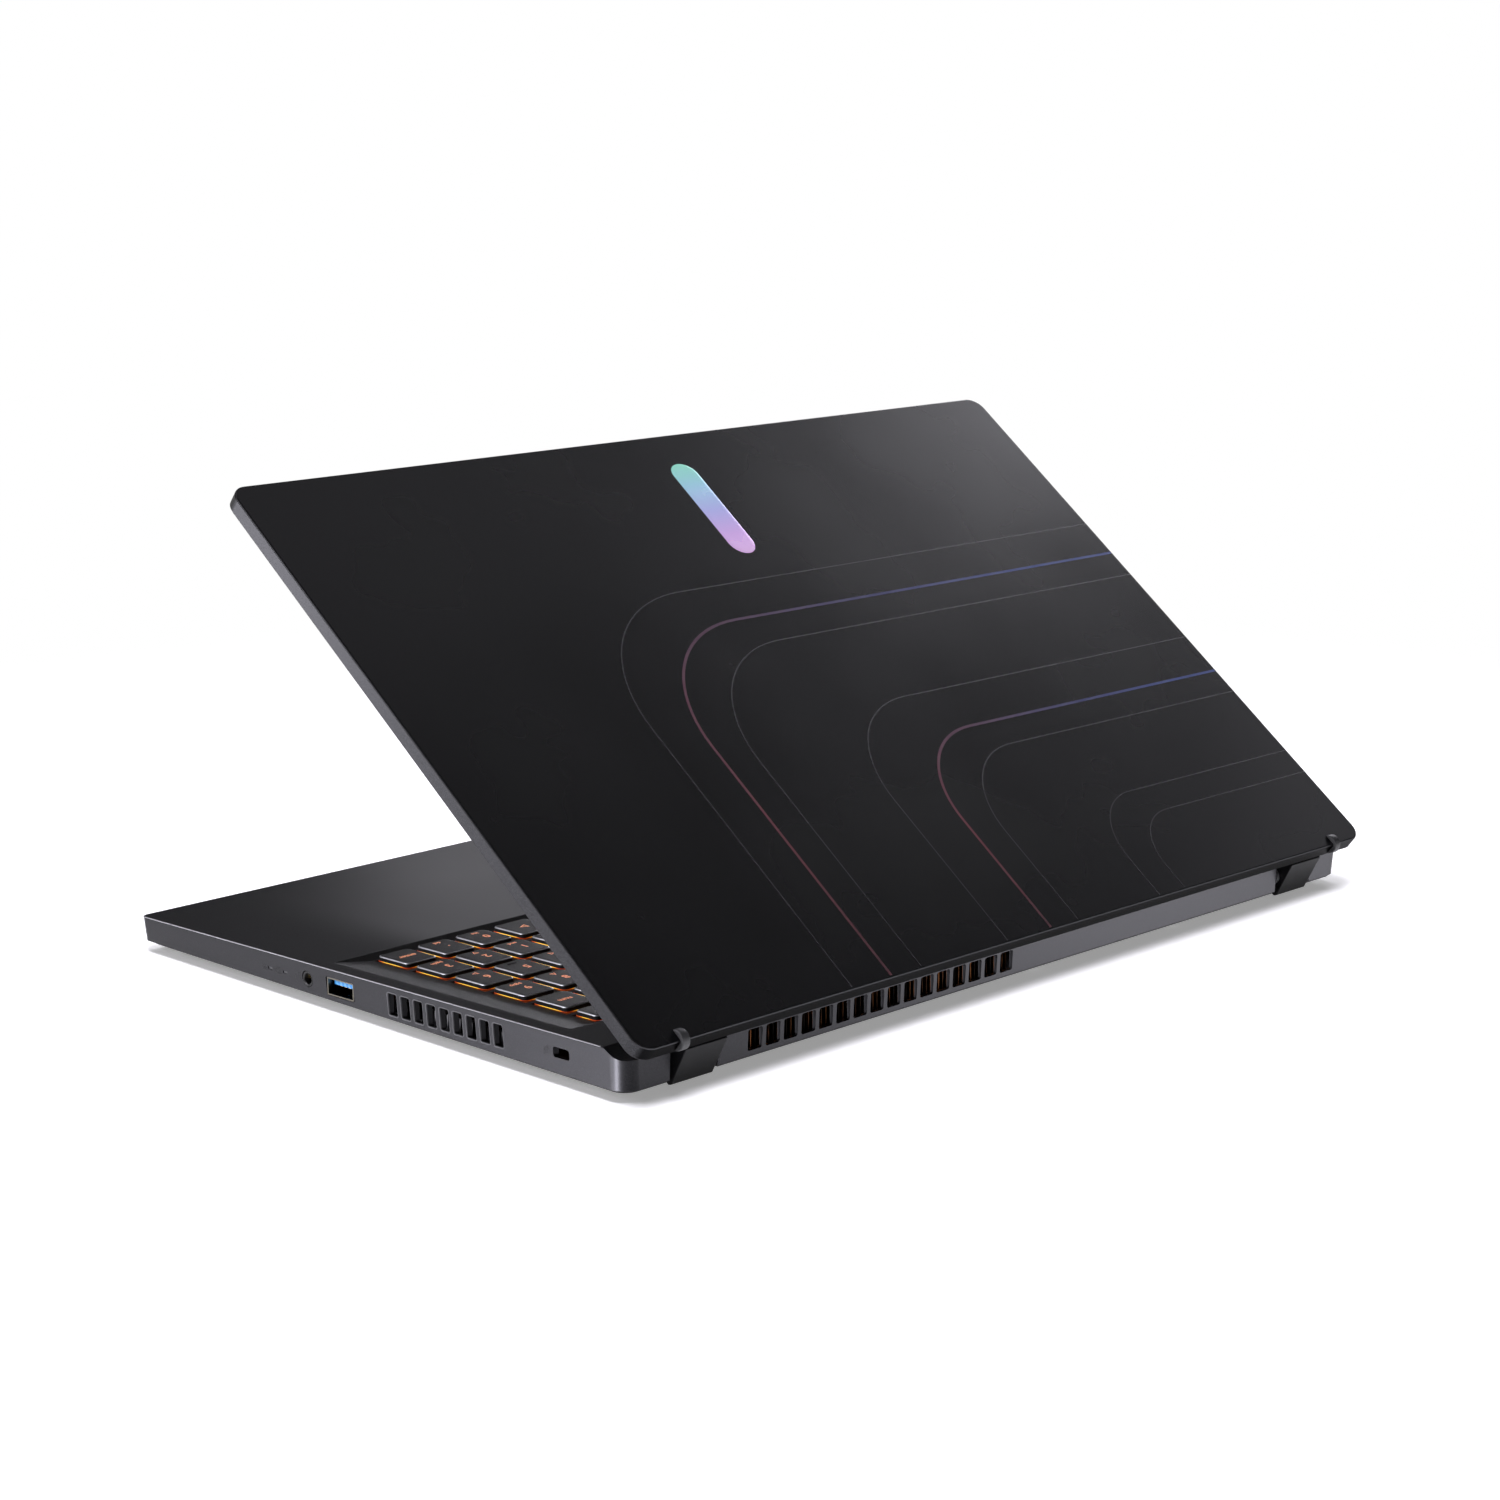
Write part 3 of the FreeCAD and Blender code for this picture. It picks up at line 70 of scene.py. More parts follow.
# ------------------------------------------------------------------ materials
class Mat:
    """A node material: a principled shader and short helpers to feed it."""

    def __init__(self, name, **sockets):
        self.m = bpy.data.materials.new(name)
        self.m.use_nodes = True
        self.nt = self.m.node_tree
        self.nt.nodes.clear()
        self.out = self.nt.nodes.new("ShaderNodeOutputMaterial")
        self.b = self.nt.nodes.new("ShaderNodeBsdfPrincipled")
        self.nt.links.new(self.b.outputs[0], self.out.inputs[0])
        self.coord = self.nt.nodes.new("ShaderNodeTexCoord")
        for k, v in sockets.items():
            self.b.inputs[k.replace("_", " ")].default_value = v

    def new(self, kind, **props):
        n = self.nt.nodes.new(kind)
        for k, v in props.items():
            setattr(n, k, v)
        return n

    def link(self, a, b):
        self.nt.links.new(a, b)

    def noise(self, scale, detail=2.0, rough=0.5, stretch=None, kind="ShaderNodeTexNoise"):
        n = self.new(kind)
        n.inputs["Scale"].default_value = scale
        if kind == "ShaderNodeTexNoise":
            n.inputs["Detail"].default_value = detail
            n.inputs["Roughness"].default_value = rough
        if stretch:
            mp = self.new("ShaderNodeMapping")
            mp.inputs["Scale"].default_value = stretch
            self.link(self.coord.outputs["Object"], mp.inputs["Vector"])
            self.link(mp.outputs[0], n.inputs["Vector"])
        else:
            self.link(self.coord.outputs["Object"], n.inputs["Vector"])
        return n.outputs["Fac"] if kind == "ShaderNodeTexNoise" else n.outputs["Distance"]

    def remap(self, fac, lo, hi, a=0.3, b=0.7, smooth=False):
        n = self.new("ShaderNodeMapRange", clamp=True)
        if smooth:
            n.interpolation_type = "SMOOTHSTEP"
        n.inputs["From Min"].default_value, n.inputs["From Max"].default_value = a, b
        n.inputs["To Min"].default_value, n.inputs["To Max"].default_value = lo, hi
        self.link(fac, n.inputs["Value"])
        return n.outputs[0]

    def ramp(self, fac, stops, mode="LINEAR"):
        n = self.new("ShaderNodeValToRGB")
        n.color_ramp.interpolation = mode
        el = n.color_ramp.elements
        while len(el) < len(stops):
            el.new(0.5)
        for e, (p, c) in zip(el, stops):
            e.position = p
            e.color = (*c, 1.0)
        self.link(fac, n.inputs["Fac"])
        return n.outputs["Color"]

    def mix(self, fac, a, b, kind="FLOAT"):
        n = self.new("ShaderNodeMix", data_type=kind)
        self.link(fac, n.inputs["Factor"])
        pa, pb, po = {"FLOAT": (2, 3, 0), "RGBA": (6, 7, 2)}[kind]
        for v, p in ((a, pa), (b, pb)):
            if isinstance(v, (int, float, tuple)):
                n.inputs[p].default_value = v
            else:
                self.link(v, n.inputs[p])
        return n.outputs[po]

    def facing(self, direction, a=0.35, b=0.75):
        """1 where the surface faces a direction of the object's own frame, 0 where it is side on."""
        n = self.new("ShaderNodeVectorMath", operation="DOT_PRODUCT")
        self.link(self.coord.outputs["Normal"], n.inputs[0])
        n.inputs[1].default_value = direction
        return self.remap(n.outputs["Value"], 0.0, 1.0, a, b)

    def across(self, direction, a=0.25, b=0.65):
        """1 where the surface faces along a direction, either way."""
        n = self.new("ShaderNodeVectorMath", operation="DOT_PRODUCT")
        self.link(self.coord.outputs["Normal"], n.inputs[0])
        n.inputs[1].default_value = direction
        k = self.new("ShaderNodeMath", operation="ABSOLUTE")
        self.link(n.outputs["Value"], k.inputs[0])
        return self.remap(k.outputs[0], 0.0, 1.0, a, b)

    def product(self, a, b):
        n = self.new("ShaderNodeMath", operation="MULTIPLY")
        self.link(a, n.inputs[0])
        self.link(b, n.inputs[1])
        return n.outputs[0]

    def biggest(self, a, b):
        n = self.new("ShaderNodeMath", operation="MAXIMUM")
        self.link(a, n.inputs[0])
        self.link(b, n.inputs[1])
        return n.outputs[0]

    def bump(self, fac, strength, distance, under=None):
        n = self.new("ShaderNodeBump")
        n.inputs["Strength"].default_value = strength
        n.inputs["Distance"].default_value = distance
        self.link(fac, n.inputs["Height"])
        if under is not None:
            self.link(under, n.inputs["Normal"])
        self.link(n.outputs[0], self.b.inputs["Normal"])
        return n.outputs[0]

    def color(self, sock):
        self.link(sock, self.b.inputs["Base Color"])

    def rough(self, sock):
        self.link(sock, self.b.inputs["Roughness"])


def shade(c, k):
    return tuple(min(1.0, x * k) for x in c)


def moulded(name, col, rough=0.5, grain=2600.0, depth=0.00002, vary=0.25, spec=0.5, metal=0.0, strength=0.35):
    """Moulded plastic, rubber or paint: fine grain in the height, slow patches in tone and gloss."""
    m = Mat(name, Metallic=metal, Specular_IOR_Level=spec)
    g = m.noise(grain, 3.0, 0.6)
    p = m.noise(38.0, 4.0, 0.6)
    t = m.mix(m.remap(p, 0.0, 1.0), g, p)
    m.color(m.ramp(t, [(0.25, shade(col, 1.0 - vary)), (0.75, shade(col, 1.0 + vary))]))
    m.rough(m.remap(t, rough - 0.06, rough + 0.06))
    m.bump(g, strength, depth)
    return m.m


def brushed(name, col, rough=0.3, stretch=(40, 2600, 2600)):
    m = Mat(name, Metallic=1.0)
    g = m.noise(1.0, 4.0, 0.6, stretch=stretch)
    p = m.noise(90.0, 3.0, 0.6)
    m.color(m.ramp(g, [(0.3, shade(col, 0.78)), (0.7, shade(col, 1.12))]))
    m.rough(m.remap(p, rough - 0.08, rough + 0.1))
    m.bump(g, 0.25, 0.00001)
    return m.m


def lid_paint():
    """Smooth blue-black satin on the back, grainy metallic grey on the sides, dark on the other edges with painted
    shade on the one that faces rear and down, and a painted highlight line where they turn.
    """
    m = Mat("lid_satin_paint", Specular_IOR_Level=0.45)
    side = m.across((1.0, 0.0, 0.0), 0.22, 0.55)
    turn = m.facing(LID_UP, 0.12, 0.40)
    flat = m.facing(LID_UP, 0.985, 0.80)
    fine = m.noise(3300.0, 2.0, 0.7)
    slow = m.noise(14.0, 3.0, 0.5)
    top = m.ramp(slow, [(0.3, (0.0014, 0.0013, 0.0020)), (0.7, (0.0019, 0.0018, 0.0027))])
    rim = m.ramp(fine, [(0.30, (0.024, 0.024, 0.026)), (0.52, (0.042, 0.042, 0.045)), (0.74, (0.085, 0.085, 0.090))])
    painted_highlight = m.ramp(fine, [(0.30, (0.045, 0.045, 0.047)), (0.70, (0.075, 0.075, 0.079))])
    # painted shade: the edge face that looks rear and down is coloured darker and given a dimmer specular tint
    rear = m.facing(LID_REAR, 0.55, 0.80)
    painted_rear_shade = m.ramp(fine, [(0.30, (0.0045, 0.0045, 0.0048)), (0.70, (0.0085, 0.0085, 0.0090))])
    # painted highlight: the fillets where the back turns into the edges get a lighter metallic colour
    edge = m.remap(m.product(turn, flat), 0.0, 1.0, 0.0, 1.0)
    metal = m.biggest(m.biggest(side, edge), rear)
    m.color(m.mix(edge, m.mix(rear, m.mix(side, top, rim, "RGBA"), painted_rear_shade, "RGBA"), painted_highlight, "RGBA"))
    m.link(metal, m.b.inputs["Metallic"])
    m.link(m.mix(rear, (1.0, 1.0, 1.0, 1.0), (0.58, 0.58, 0.58, 1.0), "RGBA"), m.b.inputs["Specular Tint"])
    m.rough(m.mix(metal, m.remap(slow, 0.25, 0.29), m.remap(fine, 0.34, 0.46)))
    m.bump(m.mix(metal, slow, fine), 0.22, 0.00002)
    return m.m


def case_paint():
    """Black satin deck, dark grey metallic grain on the walls, and a painted highlight line on the rounded edge between
    them.
    """
    m = Mat("case_satin_paint", Specular_IOR_Level=0.5)
    deck = m.facing(DECK_UP, 0.93, 0.998)
    fine = m.noise(3000.0, 2.0, 0.7)
    slow = m.noise(11.0, 3.0, 0.5)
    top = m.ramp(slow, [(0.3, (0.0040, 0.0039, 0.0047)), (0.7, (0.0052, 0.0050, 0.0060))])
    wall = m.ramp(fine, [(0.28, (0.0123, 0.0123, 0.0132)), (0.5, (0.0175, 0.0175, 0.0187)), (0.74, (0.0267, 0.0267, 0.0285))])
    painted_highlight = m.ramp(fine, [(0.30, (0.060, 0.060, 0.063)), (0.70, (0.090, 0.090, 0.095))])
    # painted highlight: the rounded edge between deck and walls gets a lighter colour than the wall
    turn = m.product(m.facing(DECK_UP, 0.20, 0.45), m.facing(DECK_UP, 0.985, 0.90))
    m.color(m.mix(deck, m.mix(turn, wall, painted_highlight, "RGBA"), top, "RGBA"))
    m.link(m.remap(deck, 1.0, 0.0, 0.0, 1.0), m.b.inputs["Metallic"])
    at = m.new("ShaderNodeSeparateXYZ")
    m.link(m.coord.outputs["Object"], at.inputs[0])
    away = m.new("ShaderNodeMath", operation="ABSOLUTE")
    m.link(at.outputs["X"], away.inputs[0])
    border = m.remap(away.outputs[0], 0.0, 1.0, 0.128, 0.164, smooth=True)
    m.rough(m.mix(deck, m.remap(fine, 0.38, 0.46), m.mix(border, m.remap(slow, 0.30, 0.33), m.remap(fine, 0.46, 0.54))))
    m.bump(m.mix(deck, fine, slow), 0.25, 0.00002)
    return m.m


def surround_skin():
    """Matte charcoal with a fine spark-eroded texture."""
    m = Mat("surround_texture", Specular_IOR_Level=0.28)
    g = m.noise(1900.0, 3.0, 0.7)
    c = m.noise(700.0, 2.0, 0.5)
    t = m.mix(c, g, c)
    m.color(m.ramp(t, [(0.3, (0.013, 0.013, 0.0135)), (0.7, (0.030, 0.030, 0.0305))]))
    m.rough(m.remap(g, 0.55, 0.75))
    m.bump(g, 0.6, 0.00005)
    return m.m


def key_skin():
    m = Mat("key_matte", Specular_IOR_Level=0.22)
    g = m.noise(2400.0, 3.0, 0.6)
    p = m.noise(120.0, 3.0, 0.6)
    m.color(m.ramp(p, [(0.3, (0.0085, 0.0085, 0.0090)), (0.7, (0.0125, 0.0125, 0.0130))]))
    m.rough(m.remap(g, 0.46, 0.60))
    m.bump(g, 0.3, 0.00002)
    return m.m


def painted_key_highlight():
    """The edge of a key: smoother than its top, and painted greyer as a highlight."""
    m = Mat("key_edge_painted_highlight", Specular_IOR_Level=0.6)
    g = m.noise(1500.0, 3.0, 0.6)
    m.color(m.ramp(g, [(0.3, (0.18, 0.174, 0.171)), (0.7, (0.26, 0.252, 0.248))]))
    m.rough(m.remap(g, 0.28, 0.42))
    m.bump(g, 0.15, 0.00001)
    return m.m


def glow_skin():
    """Light that leaves under a key: orange red at the corners, yellow between them."""
    m = Mat("key_light", Roughness=0.5)
    at = m.new("ShaderNodeAttribute", attribute_name="along")
    n = m.noise(900.0, 2.0, 0.5)
    t = m.mix(m.remap(n, 0.0, 0.25), at.outputs["Fac"], n)
    c = m.ramp(t, [(0.0, (0.55, 0.035, 0.006)), (0.3, (0.95, 0.16, 0.015)), (0.7, (1.0, 0.50, 0.045)), (1.0, (1.0, 0.62, 0.07))])
    m.color(c)
    m.link(c, m.b.inputs["Emission Color"])
    m.link(m.remap(t, 0.30, 1.0, 0.0, 0.9), m.b.inputs["Emission Strength"])
    return m.m


def legend_skin():
    m = Mat("legend_print", Roughness=0.5)
    n = m.noise(800.0, 2.0, 0.5)
    c = m.ramp(n, [(0.3, (0.88, 0.32, 0.165)), (0.7, (0.96, 0.40, 0.22))])
    m.color(c)
    m.link(c, m.b.inputs["Emission Color"])
    m.b.inputs["Emission Strength"].default_value = 0.62
    return m.m


def plate_skin():
    """Metal sheet under the keys: its red-orange tone and faint glow are painted light, the backlight that reaches it
    from behind.
    """
    m = Mat("plate_lit_metal", Metallic=0.6)
    n = m.noise(160.0, 3.0, 0.6)
    m.color(m.ramp(n, [(0.3, (0.30, 0.07, 0.02)), (0.7, (0.42, 0.12, 0.03))]))
    c = m.ramp(n, [(0.3, (0.9, 0.10, 0.010)), (0.7, (1.0, 0.22, 0.02))])
    m.link(c, m.b.inputs["Emission Color"])
    m.b.inputs["Emission Strength"].default_value = 0.10
    m.rough(m.remap(n, 0.4, 0.6))
    return m.m


def film_skin():
    """Iridescent film: mint to lavender to pink along the bar, with a painted glow."""
    m = Mat("iridescent_film", Metallic=0.25, Coat_Weight=0.6, Coat_Roughness=0.12)
    at = m.new("ShaderNodeAttribute", attribute_name="along")
    n = m.noise(60.0, 3.0, 0.5)
    t = m.mix(m.remap(n, 0.04, 0.14), at.outputs["Fac"], n)
    c = m.ramp(t, [(0.0, (0.32, 0.84, 0.62)), (0.28, (0.40, 0.68, 0.88)), (0.52, (0.50, 0.51, 0.93)), (0.76, (0.71, 0.47, 0.91)), (1.0, (0.83, 0.53, 0.88))])
    m.color(c)
    m.link(c, m.b.inputs["Emission Color"])
    m.b.inputs["Emission Strength"].default_value = 0.55
    m.rough(m.remap(n, 0.2, 0.32))
    m.bump(m.noise(2600.0, 2.0, 0.5), 0.08, 0.00001)
    return m.m


def line_skin(name, stops, rough=0.4):
    m = Mat(name, Roughness=rough)
    at = m.new("ShaderNodeAttribute", attribute_name="along")
    n = m.noise(300.0, 2.0, 0.5)
    t = m.mix(m.remap(n, 0.0, 0.1), at.outputs["Fac"], n)
    m.color(m.ramp(t, stops))
    m.rough(m.remap(n, rough - 0.05, rough + 0.05))
    return m.m


def screen_skin():
    m = Mat("screen_glass", Specular_IOR_Level=0.5)
    n = m.noise(3000.0, 2.0, 0.5)
    s = m.noise(6.0, 2.0, 0.5)
    m.color(m.ramp(s, [(0.3, (0.004, 0.004, 0.0046)), (0.7, (0.006, 0.006, 0.0068))]))
    m.rough(m.remap(n, 0.22, 0.32))
    m.bump(n, 0.06, 0.00001)
    return m.m


def lens_skin():
    m = Mat("lens_glass", Coat_Weight=1.0, Coat_Roughness=0.03)
    n = m.noise(900.0, 2.0, 0.5)
    m.color(m.ramp(n, [(0.3, (0.004, 0.003, 0.010)), (0.7, (0.010, 0.006, 0.022))]))
    m.rough(m.remap(n, 0.05, 0.12))
    return m.m


def board_skin():
    m = Mat("board_mask", Specular_IOR_Level=0.5)
    v = m.noise(220.0, kind="ShaderNodeTexVoronoi")
    n = m.noise(60.0, 4.0, 0.6)
    t = m.mix(n, v, n)
    m.color(m.ramp(t, [(0.2, (0.006, 0.030, 0.016)), (0.6, (0.012, 0.062, 0.030))]))
    m.rough(m.remap(n, 0.3, 0.5))
    m.bump(v, 0.3, 0.0001)
    return m.m


def fin_skin(name, dark, light):
    """A stack of thin sheets: a few rows are painted bright as glints on edges that catch the light, the rest take the
    dark colour given.
    """
    m = Mat(name, Metallic=1.0)
    row = m.noise(1.0, 1.0, 0.5, stretch=(620.0, 620.0, 30.0))
    g = m.noise(1.0, 3.0, 0.6, stretch=(2600.0, 2600.0, 160.0))
    t = m.mix(m.remap(g, 0.0, 0.35), row, g)
    m.color(m.ramp(t, [(0.48, dark), (0.62, light), (0.74, shade(light, 1.5))]))
    m.rough(m.remap(g, 0.28, 0.46))
    m.bump(g, 0.2, 0.00001)
    return m.m


def shell_skin():
    """Plated sheet of a socket: bright at the mouth, painted dark further in as the shade inside the socket."""
    m = Mat("plated_shell", Metallic=1.0)
    g = m.noise(1.0, 4.0, 0.6, stretch=(40, 2600, 2600))
    p = m.noise(90.0, 3.0, 0.6)
    at = m.new("ShaderNodeSeparateXYZ")
    m.link(m.coord.outputs["Object"], at.inputs[0])
    away = m.new("ShaderNodeMath", operation="ABSOLUTE")
    m.link(at.outputs["X"], away.inputs[0])
    mouth = m.remap(away.outputs[0], 0.0, 1.0, 0.1788, 0.1803, smooth=True)
    col = m.ramp(g, [(0.3, (0.14, 0.13, 0.105)), (0.7, (0.24, 0.22, 0.18))])
    # painted shade: the inside of the socket is coloured dark in place of the shade that falls there
    painted_shade_inside = m.ramp(g, [(0.3, (0.020, 0.018, 0.015)), (0.7, (0.045, 0.040, 0.032))])
    m.color(m.mix(mouth, painted_shade_inside, col, "RGBA"))
    m.rough(m.remap(p, 0.22, 0.36))
    m.bump(g, 0.25, 0.00001)
    return m.m


M = {
    "lid": lid_paint(),
    "case": case_paint(),
    "surround": surround_skin(),
    "key": key_skin(),
    "edge": painted_key_highlight(),
    "glow": glow_skin(),
    "legend": legend_skin(),
    "plate": plate_skin(),
    "film": film_skin(),
    "screen": screen_skin(),
    "lens": lens_skin(),
    "board": board_skin(),
    "hairline": line_skin("hairline_grey", [(0.0, (0.055, 0.055, 0.062)), (0.5, (0.085, 0.085, 0.092)), (1.0, (0.14, 0.14, 0.15))]),
    "strip": line_skin("strip_red_to_blue", [(0.0, (0.10, 0.022, 0.034)), (0.2, (0.27, 0.055, 0.080)), (0.45, (0.16, 0.060, 0.130)),
                                             (0.62, (0.09, 0.085, 0.280)), (0.85, (0.09, 0.140, 0.480)), (1.0, (0.10, 0.160, 0.540))], 0.5),
    "bezel": moulded("bezel_matte", (0.012, 0.012, 0.013), 0.52),
    "cover": moulded("hinge_cover_satin", (0.0045, 0.0045, 0.0052), 0.38, spec=0.12, strength=0.2),
    "pad": moulded("touchpad_satin", (0.012, 0.012, 0.0132), 0.36, grain=3600.0, depth=0.00001, vary=0.12, strength=0.15),
    "rubber": moulded("soft_rubber", (0.016, 0.016, 0.016), 0.55, grain=1500.0, depth=0.00004, spec=0.45),
    "under": moulded("underside_plastic", (0.010, 0.010, 0.0105), 0.55, grain=1700.0, depth=0.00004),
    "black": moulded("port_plastic", (0.009, 0.009, 0.009), 0.45),
    "blue": moulded("blue_plastic", (0.040, 0.320, 0.850), 0.35, vary=0.12),
    "bumper": moulded("bumper_rubber", (0.045, 0.045, 0.047), 0.48, grain=1500.0, depth=0.00003, spec=0.45),
    "cell": moulded("cell_wrap", (0.02, 0.02, 0.022), 0.45, grain=900.0),
    "light": moulded("light_pipe", (0.42, 0.42, 0.44), 0.3, vary=0.1),
    "pipe": moulded("dark_light_pipe", (0.060, 0.060, 0.066), 0.3, vary=0.2),
    "rib": moulded("pale_blue_rib", (0.15, 0.52, 0.92), 0.3, vary=0.1),
    "print": moulded("icon_print", (0.0085, 0.0085, 0.009), 0.6, vary=0.15),
    "edge": moulded("polished_edge", (0.50, 0.50, 0.515), 0.46, grain=3000.0, depth=0.00001, vary=0.12, metal=1.0, strength=0.15),
    # painted highlight: the vent rims are coloured lighter than the wall
    "rim": moulded("vent_rim_painted_highlight", (0.10, 0.10, 0.107), 0.40, vary=0.2),
    "steel": brushed("steel_sheet", (0.48, 0.48, 0.49), 0.34),
    "shell": shell_skin(),
    "gold": brushed("gold_contact", (0.95, 0.70, 0.32), 0.22),
    "copper": brushed("copper_sheet", (0.80, 0.36, 0.16), 0.30, stretch=(2600, 2600, 60)),
    "fin": fin_skin("dark_fin_sheet", (0.006, 0.006, 0.006), (0.50, 0.50, 0.52)),
    # painted shade and glints: the copper fins are coloured near black as shade behind the vents, with a few painted
    # copper glints
    "copper_fin": fin_skin("copper_fin_sheet", (0.007, 0.005, 0.004), (0.26, 0.10, 0.035)),
}

CAD_LOOK = {
    "lid": ["lid_back_cover"],
    "film": ["lid_inlay"],
    "bezel": ["display_bezel"],
    "screen": ["display_panel"],
    "lens": ["webcam_module"],
    "copper": ["wifi_antennas", "heat_pipes"],
    "copper_fin": ["rear_fin_stack"],
    "black": ["display_cable", "fan_housing_right", "fan_housing_center", "fan_rotor_right", "fan_rotor_center", "speakers",
              "headset_jack", "ethernet_port", "dc_inlet"],
    "cover": ["hinge_cover_left", "hinge_cover_right"],
    "steel": ["hinge_arm_left", "hinge_arm_right", "hinge_pins", "hinge_bracket_left", "hinge_bracket_right", "hinge_screws", "bottom_screws"],
    "fin": ["side_fin_stack"],
    "rubber": ["bezel_bumpers", "rubber_feet"],
    "bumper": ["lid_bumpers"],
    "case": ["top_case"],
    "surround": ["keyboard_surround"],
    "under": ["bottom_cover"],
    "plate": ["keyboard_plate"],
    "light": ["keyboard_backlight"],
    "pipe": ["indicator_lights"],
    "board": ["motherboard", "io_board", "memory_modules", "ssd_module", "wireless_card"],
    "cell": ["battery_pack"],
    "shell": ["usb_port_right", "usb_ports_left", "usb_c_port", "hdmi_port"],
    "blue": ["usb_tongue_right"],
    "pad": ["touchpad"],
    "key": ["power_button", "function_row_keys", "number_row_keys", "upper_row_keys", "home_row_keys", "lower_row_keys", "bottom_row_keys",
            "space_bar", "arrow_keys", "numpad_left_keys", "numpad_middle_keys", "numpad_right_keys"],
}
for look, names in CAD_LOOK.items():
    for n in names:
        NODES[n].data.materials.clear()
        NODES[n].data.materials.append(M[look])
LEFT_BARE = sorted(set(NODES) - {n for names in CAD_LOOK.values() for n in names})
if LEFT_BARE:
    raise RuntimeError("no look for %s" % LEFT_BARE)


def soft_edges(node, width, segments=3, angle=30):
    """Small rounded edges on a plain CAD piece."""
    o = NODES[node]
    w = o.modifiers.new("weld", "WELD")
    w.merge_threshold = 0.000002
    b = o.modifiers.new("edge_round", "BEVEL")
    b.width = width * MM
    b.segments = segments
    b.limit_method = "ANGLE"
    b.angle_limit = math.radians(angle)
    b.harden_normals = True


for n in ("hinge_cover_left", "hinge_cover_right"):
    soft_edges(n, 0.3)
for n in ("rubber_feet", "bezel_bumpers"):
    soft_edges(n, 0.5)
soft_edges("lid_bumpers", 0.95, 5, 40)
soft_edges("touchpad", 0.25)
soft_edges("usb_tongue_right", 0.25)


# ------------------------------------------------------------------ mesh helpers
class Shape:
    """Points in millimetres, faces, a material number for each face and a value for each point."""

    def __init__(self):
        self.v, self.f, self.m, self.t = [], [], [], []

    def add(self, verts, faces, mat=0, t=None):
        o = len(self.v)
        self.v += [tuple(p) for p in verts]
        self.f += [tuple(i + o for i in f) for f in faces]
        self.m += [mat] * len(faces) if isinstance(mat, int) else list(mat)
        self.t += list(t) if t is not None else [0.0] * len(verts)


def make(name, shape, place, mats, body, replaces=(), angle=32.0):
    me = bpy.data.meshes.new(name)
    me.from_pydata([tuple((place @ Vector(p)) * MM) for p in shape.v], [], shape.f)
    for m in mats:
        me.materials.append(m)
    me.polygons.foreach_set("material_index", shape.m)
    if any(shape.t):
        a = me.attributes.new("along", "FLOAT", "POINT")
        a.data.foreach_set("value", shape.t)
    me.update()
    me.shade_smooth()
    me.set_sharp_from_angle(angle=math.radians(angle))
    o = bpy.data.objects.new(name, me)
    SCENE.collection.objects.link(o)
    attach(o, body)
    if replaces:
        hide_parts(*replaces)
    return o


def outline(cx, cy, w, d, r, turn=5, side=6):
    """Rounded rectangle, counter-clockwise, with its distance from the nearest corner for each point."""
    pts, far = [], []
    r = max(0.02, min(r, w / 2 - 0.02, d / 2 - 0.02))
    arcs = []
    for sx, sy, a0 in ((1, 1, 0), (-1, 1, 90), (-1, -1, 180), (1, -1, 270)):
        arcs.append([(cx + sx * (w / 2 - r) + r * math.cos(math.radians(a0 + 90.0 * k / turn)),
                      cy + sy * (d / 2 - r) + r * math.sin(math.radians(a0 + 90.0 * k / turn))) for k in range(turn + 1)])
    for i, arc in enumerate(arcs):
        pts += arc
        far += [0.0] * len(arc)
        a, b = arc[-1], arcs[(i + 1) % 4][0]
        gap = math.hypot(b[0] - a[0], b[1] - a[1])
        for k in range(1, side):
            s = k / side
            pts.append((a[0] + (b[0] - a[0]) * s, a[1] + (b[1] - a[1]) * s))
            far.append(min(s, 1 - s) * gap)
    return pts, far


def loft(shape, rings, mats, close_low=True, close_high=True, values=None):
    """Skin over rings of equal length, one material number for each band; the last two numbers close the ends."""
    n = len(rings[0])
    verts = [p for ring in rings for p in ring]
    faces, fm = [], []
    for j in range(len(rings) - 1):
        for i in range(n):
            k = (i + 1) % n
            faces.append((j * n + i, j * n + k, (j + 1) * n + k, (j + 1) * n + i))
            fm.append(mats[j])
    if close_low:
        faces.append(tuple(reversed(range(n))))
        fm.append(mats[0])
    if close_high:
        faces.append(tuple(range((len(rings) - 1) * n, len(rings) * n)))
        fm.append(mats[-1])
    shape.add(verts, faces, fm, values)


